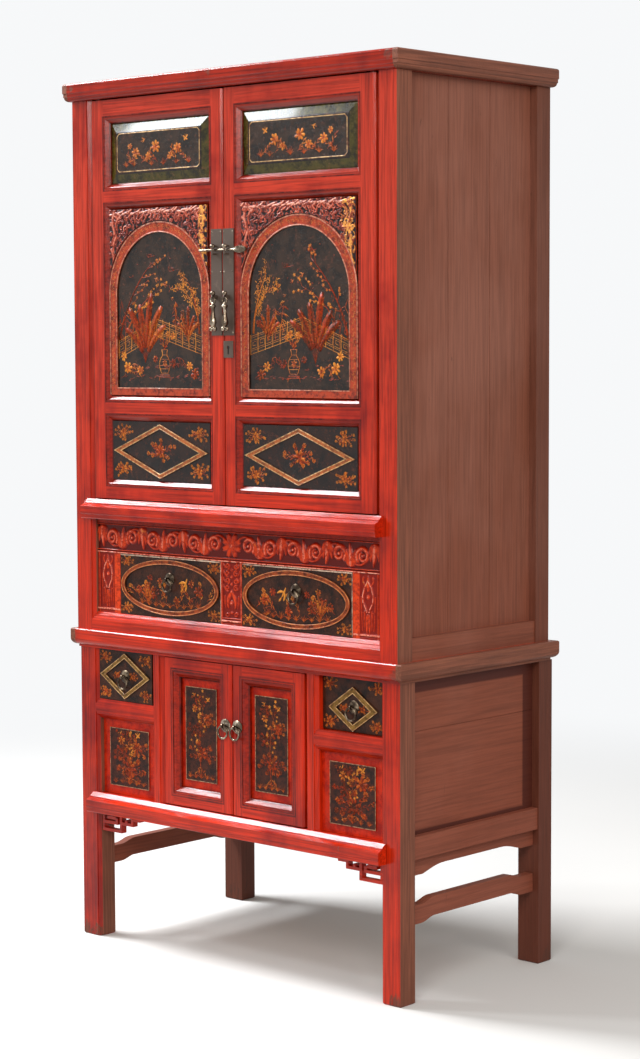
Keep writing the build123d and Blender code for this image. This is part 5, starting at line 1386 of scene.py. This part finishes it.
def top_flowers(side, seed):
    """A row of flowers, sprays and grass on a tall door's top panel."""
    middle, half = leaf_middle(side)
    hand = SIDES[side]
    picture = Picture((middle, sum(TOP_OPEN) / 2), UPPER_FACE + TOP_SUNK, seed)
    for x, z, size in (
        (-62, 2, 15), (-40, -12, 11), (6, 8, 17), (30, -12, 12), (70, -2, 14), (88, 12, 9),
    ):
        picture.flower((hand * x * half / 155, z), size * 0.8, 0.6)
    for x, angle in (
        (-95, 0.5), (-60, 0.9), (-25, 2.2), (0, 0.6), (30, 0.4), (52, 2.4), (80, 0.7), (98, 2.5),
    ):
        start = (hand * x * half / 155, -24)
        heading = angle if hand > 0 else np.pi - angle
        picture.spray(start, heading, picture.random.uniform(26, 44), hand * 0.5, 7, 8.5, 0.45)
    for x in (-104, -78, -20, 18, 60, 100):
        picture.tuft((x * half / 160, -31), 17, 6, 0.4)
    picture.butterfly((hand * -88 * half / 155, 20), 9)
    picture.bird((hand * 48 * half / 155, 22), 10, 2.8 if hand > 0 else 0.3)
    paint(f"top_panel_flowers_{side}", picture, f"upper_door_{side}")


def arch_garden(side, seed):
    """Garden behind a fence: rocks, trees, plantain, bamboo and a vase of flowers."""
    middle, half = leaf_middle(side)
    edge = half - ARCH_SIDE
    hand = SIDES[side]
    centre = (middle, ARCH_OPEN[0] + ARCH_FOOT)
    picture = Picture(centre, UPPER_FACE + FIELD_SUNK, seed)
    picture.rock((hand * (edge - 26), 96), 30, 66, 0.3)
    picture.rock((hand * (edge - 12), 60), 16, 120, 0.22)
    picture.fence((-hand * edge * 0.98, 70), (hand * 10, 108), 36, 0.72)
    picture.fence((hand * 10, 108), (hand * edge * 0.98, 62), 36, 0.72)
    for x, z, lean, length, turn, *look in (
        (10 - edge, 112, -0.05, 120, -0.5, 8.0, 0.55, False),
        (16 - edge, 150, -0.3, 80, -0.9, 5.0, 0.6, False),
        (edge - 4, 100, 0.25, 190, 0.6, 9.0, 0.25),
        (edge - 30, 120, 0.5, 130, 0.7, 5.0, 0.4),
    ):
        picture.tree((hand * x, z), UPWARD + hand * lean, length, hand * turn, *look)
    picture.plantain((hand * 44, 52), 150, 6, 0.12)
    picture.plantain((-hand * 84, 96), 74, 5, 0.3)
    picture.bamboo((-hand * 50, 104), 74, hand * 0.1, 0.35)
    picture.bamboo((-hand * 64, 100), 60, -hand * 0.1, 0.3)
    picture.vase((-hand * 14, 30), 50, 0.5)
    picture.rock((-hand * 60, 40), 22, 24, 0.25)
    picture.rock((hand * 84, 22), 26, 30, 0.45)
    for x, z, size, tone in (
        (-104, 30, 12, 0.4), (-88, 46, 10, 0.7), (-40, 52, 9, 0.2), (60, 36, 11, 0.6),
        (98, 42, 13, 0.7), (110, 66, 10, 0.8), (14, 60, 8, 0.3), (-108, 132, 9, 0.25),
        (-84, 158, 8, 0.2),
    ):
        picture.flower((hand * x, z), size, tone)
    picture.ground(edge * 0.9, 22, 12)
    picture.ground(edge * 0.8, 44, 8, 0.2)
    picture.petals(edge * 0.75, 165, 300, 20, 0.3)
    picture.cloud((-hand * 36, 248), 10, 0.2)
    picture.cloud((hand * 30, 278), 8, 0.25)
    for x, z, size in ((6, 226, 10), (-20, 214, 8), (-58, 206, 9), (-40, 186, 7)):
        picture.bird((hand * x, z), size, 0.4 if hand > 0 else 2.7, 0.5)
    paint(f"arch_garden_{side}", picture, f"upper_door_{side}")


def diamond_flowers(side, seed):
    """Bunches in the middle and the corners of a tall door's lozenge panel."""
    middle, half = leaf_middle(side)
    centre, limits = (middle, sum(LOZENGE_OPEN) / 2), (half - 1.0, LOZENGE_HALF - 1.0)
    picture = Picture(centre, UPPER_FACE + FIELD_SUNK, seed, limits)
    bunch(picture, (0, 0), 15, 38)
    for across, up in CORNERS:
        bunch(picture, (across * half * 0.78, up * 39), 9, 26, 11, 0.6)
    paint(f"diamond_flowers_{side}", picture, f"upper_door_{side}")


WIDE_CENTRE, WIDE_HALF = (181.0, 782.0), (150.8, 63.8)  # fronts of the wide drawers
WIDE_PAINT = (150.0, 63.0)  # how far from its middle paint reaches on a front
SMALL_CENTRE, SMALL_PAINT = (321.25, 581.5), (80.5, 53.3)
INSET_FACE = -216.5


def wide_drawer_work(side, seed):
    """Oval beads, a highlight painted on the rubbed edge and a flowery field on a wide drawer."""
    sign, body = SIDES[side], f"wide_drawer_{side}"
    centre = (sign * WIDE_CENTRE[0], WIDE_CENTRE[1])
    face = SURROUND_FACE + 1.2
    runs = [(oval(centre, np.array(WIDE_HALF) - inset), 1.0, 0.7, True) for inset in (6.0, 14.0)]
    lines(f"oval_beads_{side}", body, face - 3.5, runs, orange_gilt)
    left, right = centre[0] - WIDE_HALF[0], centre[0] + WIDE_HALF[0]
    low, high = centre[1] - WIDE_HALF[1], centre[1] + WIDE_HALF[1]
    # painted highlight: pale beads along the top and right edges, which are also rubbed
    runs = [
        ([(right - 1, high - 1.2), (left + 1, high - 1.2)], 1.2, 0.6, False),
        ([(right - 0.9, low + 1), (right - 0.9, high - 3)], 0.7, 0.4, False),
    ]
    lines(f"wide_drawer_edge_{side}", body, face, runs, worn_edge_highlight)
    picture = Picture(centre, face, seed, WIDE_PAINT)
    picture.bird((sign * -40, 2), 24, 0.9, 0.9)
    picture.plantain((sign * 66, -38), 50, 6, 0.3)
    picture.rock((sign * -70, -40), 22, 24, 0.3)
    for x, z, size in (
        (-86, -4, 14), (-64, 12, 9), (44, -14, 15), (72, -2, 12),
        (92, -8, 9), (30, 12, 8), (-20, -26, 10), (60, 18, 8),
    ):
        picture.flower((sign * x, z), size, picture.random.uniform(0.15, 0.6))
    for x, angle in (
        (-110, 0.7), (-90, 1.3), (-60, 1.9), (-30, 1.1), (10, 1.8),
        (30, 0.9), (60, 1.6), (90, 2.2), (105, 2.5),
    ):
        start = (sign * x, -22 - 10 * np.cos(x / 70))
        picture.spray(start, angle, 40, 0.6, 8, 9, 0.42, 4.5)
    for x in range(-84, 85, 21):
        picture.tuft((x, -44 + (x / 40) ** 2), 18, 6, 0.42)
    for across, up in CORNERS:
        bunch(picture, (across * 131, up * 50), 8.5, 18, 9, 0.55)
    paint(f"wide_drawer_flowers_{side}", picture, body)


def small_drawer_work(side, face, half, level, band):
    """A lozenge of beads on a small drawer, and bunches in and round it."""
    sign, body = SIDES[side], f"small_drawer_{side}"
    centre = (sign * SMALL_CENTRE[0], SMALL_CENTRE[1])
    lozenges = [lozenge((centre[0], level), half, step) for step in (0.8, band - 0.8)]
    runs = [(path, 0.8, 0.6, True) for path in lozenges]
    lines(f"small_lozenge_beads_{side}", body, face - 3.5, runs, pale_gilt)
    picture = Picture(centre, face, 61 + sign, SMALL_PAINT)
    for across, up in CORNERS:
        bunch(picture, (across * 63, up * 38), 9.5, 18, 9, 0.5)
        bunch(picture, (across * 24, level - centre[1]), 6.5, 13, 5)
    paint(f"small_drawer_flowers_{side}", picture, body)


def inset_work(name, body, x, z, seed):
    """Flower stems on a lower inset, with a rubbed edge round it."""
    edge = box_line(shrink(x, 1.0), shrink(z, 1.0))
    lines(f"{name}_edge", body, INSET_FACE, [(edge, 0.7, 0.35, True)], dark_edge)
    wide, tall = x[1] - x[0], z[1] - z[0]
    limits = (wide / 2 - 1.5, tall / 2 - 1.5)
    picture = Picture((sum(x) / 2, sum(z) / 2), INSET_FACE, seed, limits)
    base = -tall / 2 + 9
    picture.rock((0, base), wide * 0.2, tall * 0.1)
    for across, up, flower, reach, stems, tone in (
        (0.03, 0.26, 0.16, 0.36, 11, 0.3), (-0.16, 0.50, 0.12, 0.26, 9, 0.15),
        (0.2, 0.62, 0.13, 0.24, 9, 0.4), (-0.1, 0.80, 0.10, 0.24, 9, 0.2),
    ):
        place = (wide * across, base + tall * up)
        bunch(picture, place, wide * flower, wide * reach, stems, tone)
    picture.tree((wide * 0.02, base), UPWARD + 0.2, tall * 0.8, -0.5, 3.2, 0.45)
    picture.flower((-wide * 0.2, base + tall * 0.72), wide * 0.09, 0.6)
    picture.butterfly((wide * 0.22, base + tall * 0.83), wide * 0.08)
    picture.bird((-wide * 0.25, base + tall * 0.86), wide * 0.1, 0.6)
    for place in np.linspace(-wide * 0.36, wide * 0.36, 5):
        picture.tuft((place, base - 3), 15, 6, 0.4)
    paint(f"{name}_flowers", picture, body)


# ---------------------------------------------------------------- metalwork
PULL_DEPTH, PULL_TOP = -249.5, 1389.0  # y and z where the drop pulls hang
PULL_BODY = (
    (1.8, -62.0), (3.0, -61.0), (4.2, -59.5), (6.0, -57.0), (7.2, -53.0), (7.0, -48.5),
    (5.6, -42.0), (4.0, -35.0), (3.3, -29.0), (3.6, -24.0), (4.6, -21.5), (6.6, -19.0),
    (6.2, -17.0), (2.9, -15.0), (3.4, -13.0), (1.4, -11.5),
)
PULL_LOBE = ((0.6, -70.0), (3.0, -68.8), (4.6, -66.5), (4.7, -63.5), (3.4, -60.8), (1.0, -59.6))


def hanging_pull(side, centre):
    """Drop pull: an eye that hangs on its staple, a collar, a slim body and a two-lobed foot."""
    parts = [upright_ring((centre, PULL_DEPTH, PULL_TOP - 6.6), (6.0, 5.8), 2.2)]
    parts.append(lathe((centre, PULL_DEPTH, PULL_TOP), PULL_BODY))
    for lean in (-1, 1):
        parts.append(lathe((centre + lean * 4.9, PULL_DEPTH, PULL_TOP), PULL_LOBE))
    name, body = f"hanging_pull_{side}", f"drop_pull_{side}"
    piece = new_piece(name, *joined(parts), bright_brass, body, "dark_metal")
    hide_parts(f"drop_pull_{side}")


def dome(centre, radii):
    """Closed rounded boss: a half circle turned round an axis, stretched by three radii (mm)."""
    polar = np.linspace(-np.pi / 2 + 0.08, np.pi / 2 - 0.08, 11)
    points, faces = lathe((0, 0, 0), np.stack([np.cos(polar), np.sin(polar)], 1), 20)
    return points * radii + np.array(centre), faces


def plate_details(side, centre):
    """Bright bosses over the staples of a lock plate, and the round nails at its corners."""
    parts = [
        dome((centre, -250.0, 1491.6), (6.4, 4.6, 4.8)),
        dome((centre, -250.0, 1396.6), (6.0, 4.8, 5.0)),
    ]
    nails = [(centre + x, -238.4, z) for x in (-12, 12) for z in (1317, 1521, 1440)]
    parts += [dome(nail, (1.7, 0.9, 1.7)) for nail in nails]
    name, body = f"plate_bosses_{side}", f"upper_door_{side}"
    new_piece(name, *joined(parts), bright_brass, body, "dark_metal")


def keyhole():
    """Painted shade: a dark sheet behind the keyhole, for the shadow inside it."""
    across, up = np.meshgrid(np.linspace(4.5, 13.2, 3), np.linspace(1271, 1295, 3))
    points, faces = slab(across, up, np.full(across.shape, -237.35), -236.8)
    name, body = "keyhole_shade_sheet", "upper_door_right"
    new_piece(name, points, faces, deep_shade, body, "dark_metal", smooth=False)


frieze()
uprights()
for side, centre in (("left", -24.85), ("right", 8.85)):
    hanging_pull(side, centre)
    plate_details(side, centre)
keyhole()
for side, seed in (("left", 11), ("right", 21)):
    spandrels(side, seed)
    door_borders(side, seed)
    top_flowers(side, seed)
    arch_garden(side, seed + 1)
    diamond_flowers(side, seed + 2)
for side, seed in (("left", 31), ("right", 41)):
    wide_drawer_work(side, seed)
small_drawer_work("left", -225.5, (76.55, 49.3), 581.5, 9.0)
small_drawer_work("right", -212.0, (64.55, 44.55), 573.25, 11.0)
for side, sign in SIDES.items():
    door, x = f"lower_door_{side}", off_middle(sign, 54.95, 147.3)
    inset_work(door, door, x, (377.2, 576.8), 71 + sign)
    x = off_middle(sign, 260.4, 382.1)
    inset_work(f"fixed_panel_{side}", "carcass", x, (337.9, 465.1), 81 + sign)


# ---------------------------------------------------------------- floor, light and camera
FLOOR = 30.0  # half the floor's side
GLOW_NEAR, GLOW_FAR = 1.2, 3.4  # the floor turns to plain white between these distances


def pale_floor():
    """Wide pale floor that keeps the cabinet's shadow and fades to white far from it."""
    corners = [(-FLOOR, -FLOOR, 0), (FLOOR, -FLOOR, 0), (FLOOR, FLOOR, 0), (-FLOOR, FLOOR, 0)]
    mesh = bpy.data.meshes.new("floor")
    mesh.from_pydata(corners, [], [(0, 1, 2, 3)])
    sheet = bpy.data.objects.new("floor", mesh)
    bpy.context.scene.collection.objects.link(sheet)
    finish = Finish("pale_floor", Specular_IOR_Level=0.0, Emission_Strength=1.0)
    cloud = finish.noise(1.5, 3.0, 0.5)
    away = finish.node("VectorMath", {"operation": "LENGTH"}, [finish.place], out="Value")
    far = away.fit(GLOW_NEAR, GLOW_FAR)
    seen = finish.seen_by("Is Camera Ray", "Is Glossy Ray")
    pale = finish.mix((0.80, 0.78, 0.75), (0.84, 0.82, 0.79), cloud)
    near = finish.mix((0.50, 0.47, 0.44), pale, seen)
    finish.feed("Base Color", finish.tint(near, 1 - far))
    finish.feed("Roughness", cloud * 0.2 + 0.5)
    finish.feed("Emission Color", finish.mix((0.0, 0.0, 0.0), STUDIO_WHITE, far * seen))
    mesh.materials.append(finish.material)


def lamp(name, place, target, size, watts, colour):
    """Soft rectangular lamp at a place, turned towards a target."""
    data = bpy.data.lights.new(name, "AREA")
    data.shape = "RECTANGLE"
    data.size, data.size_y = size
    data.energy = watts
    data.color = colour
    light = bpy.data.objects.new(name, data)
    bpy.context.scene.collection.objects.link(light)
    light.location = place
    aim = np.array(target) - np.array(place)
    aim = aim / np.linalg.norm(aim)
    light.rotation_euler = (np.arccos(-aim[2]), 0.0, np.arctan2(aim[1], aim[0]) - np.pi / 2)


def studio_air(daylight):
    """Even white light of the given strength, and a plain pale backdrop behind everything."""
    world = bpy.data.worlds.new("studio")
    world.use_nodes = True
    air = Nodes(world.node_tree)
    sky = air.tree.nodes["Background"]
    sky.inputs["Color"].default_value = (1.0, 1.0, 1.0, 1.0)
    sky.inputs["Strength"].default_value = daylight
    seen = air.seen_by("Is Camera Ray", "Is Glossy Ray", "Is Transmission Ray")
    backdrop = air.node("Background", inputs={"Color": opaque(STUDIO_WHITE)})
    choice = air.node("MixShader", inputs=[seen, Value(air, sky.outputs[0]), backdrop])
    air.tree.links.new(choice.socket, air.tree.nodes["World Output"].inputs["Surface"])
    bpy.context.scene.world = world


pale_floor()
lamp("window_high", (-2.5, -0.65, 3.4), (0.0, -0.1, 0.9), (1.2, 1.5), 215.0, (0.93, 0.96, 1.0))
lamp("window_front", (-2.75, -2.2, 3.6), (0.0, -0.2, 1.2), (0.5, 0.75), 40.0, (0.9, 0.96, 1.0))
lamp("fill_front", (2.5, -3.3, 2.8), (0.0, 0.0, 1.1), (1.8, 1.6), 84.0, (1.0, 0.985, 0.96))
lamp("fill_right", (4.2, -1.2, 2.3), (0.0, 0.0, 0.9), (2.4, 2.4), 56.0, (1.0, 0.985, 0.96))

studio_air(0.34)
bpy.context.scene.view_settings.view_transform = "Standard"

camera_data = bpy.data.cameras.new("camera")
camera_data.lens = 81.1
camera_data.sensor_width = 36.0
camera = bpy.data.objects.new("camera", camera_data)
bpy.context.scene.collection.objects.link(camera)
camera.location = (3.41227, -3.71647, 1.29394)
YAW, PITCH, ROLL = 0.73648, -0.07781, 0.00378
camera.rotation_euler = (np.pi / 2 + PITCH, ROLL, YAW)
bpy.context.scene.camera = camera
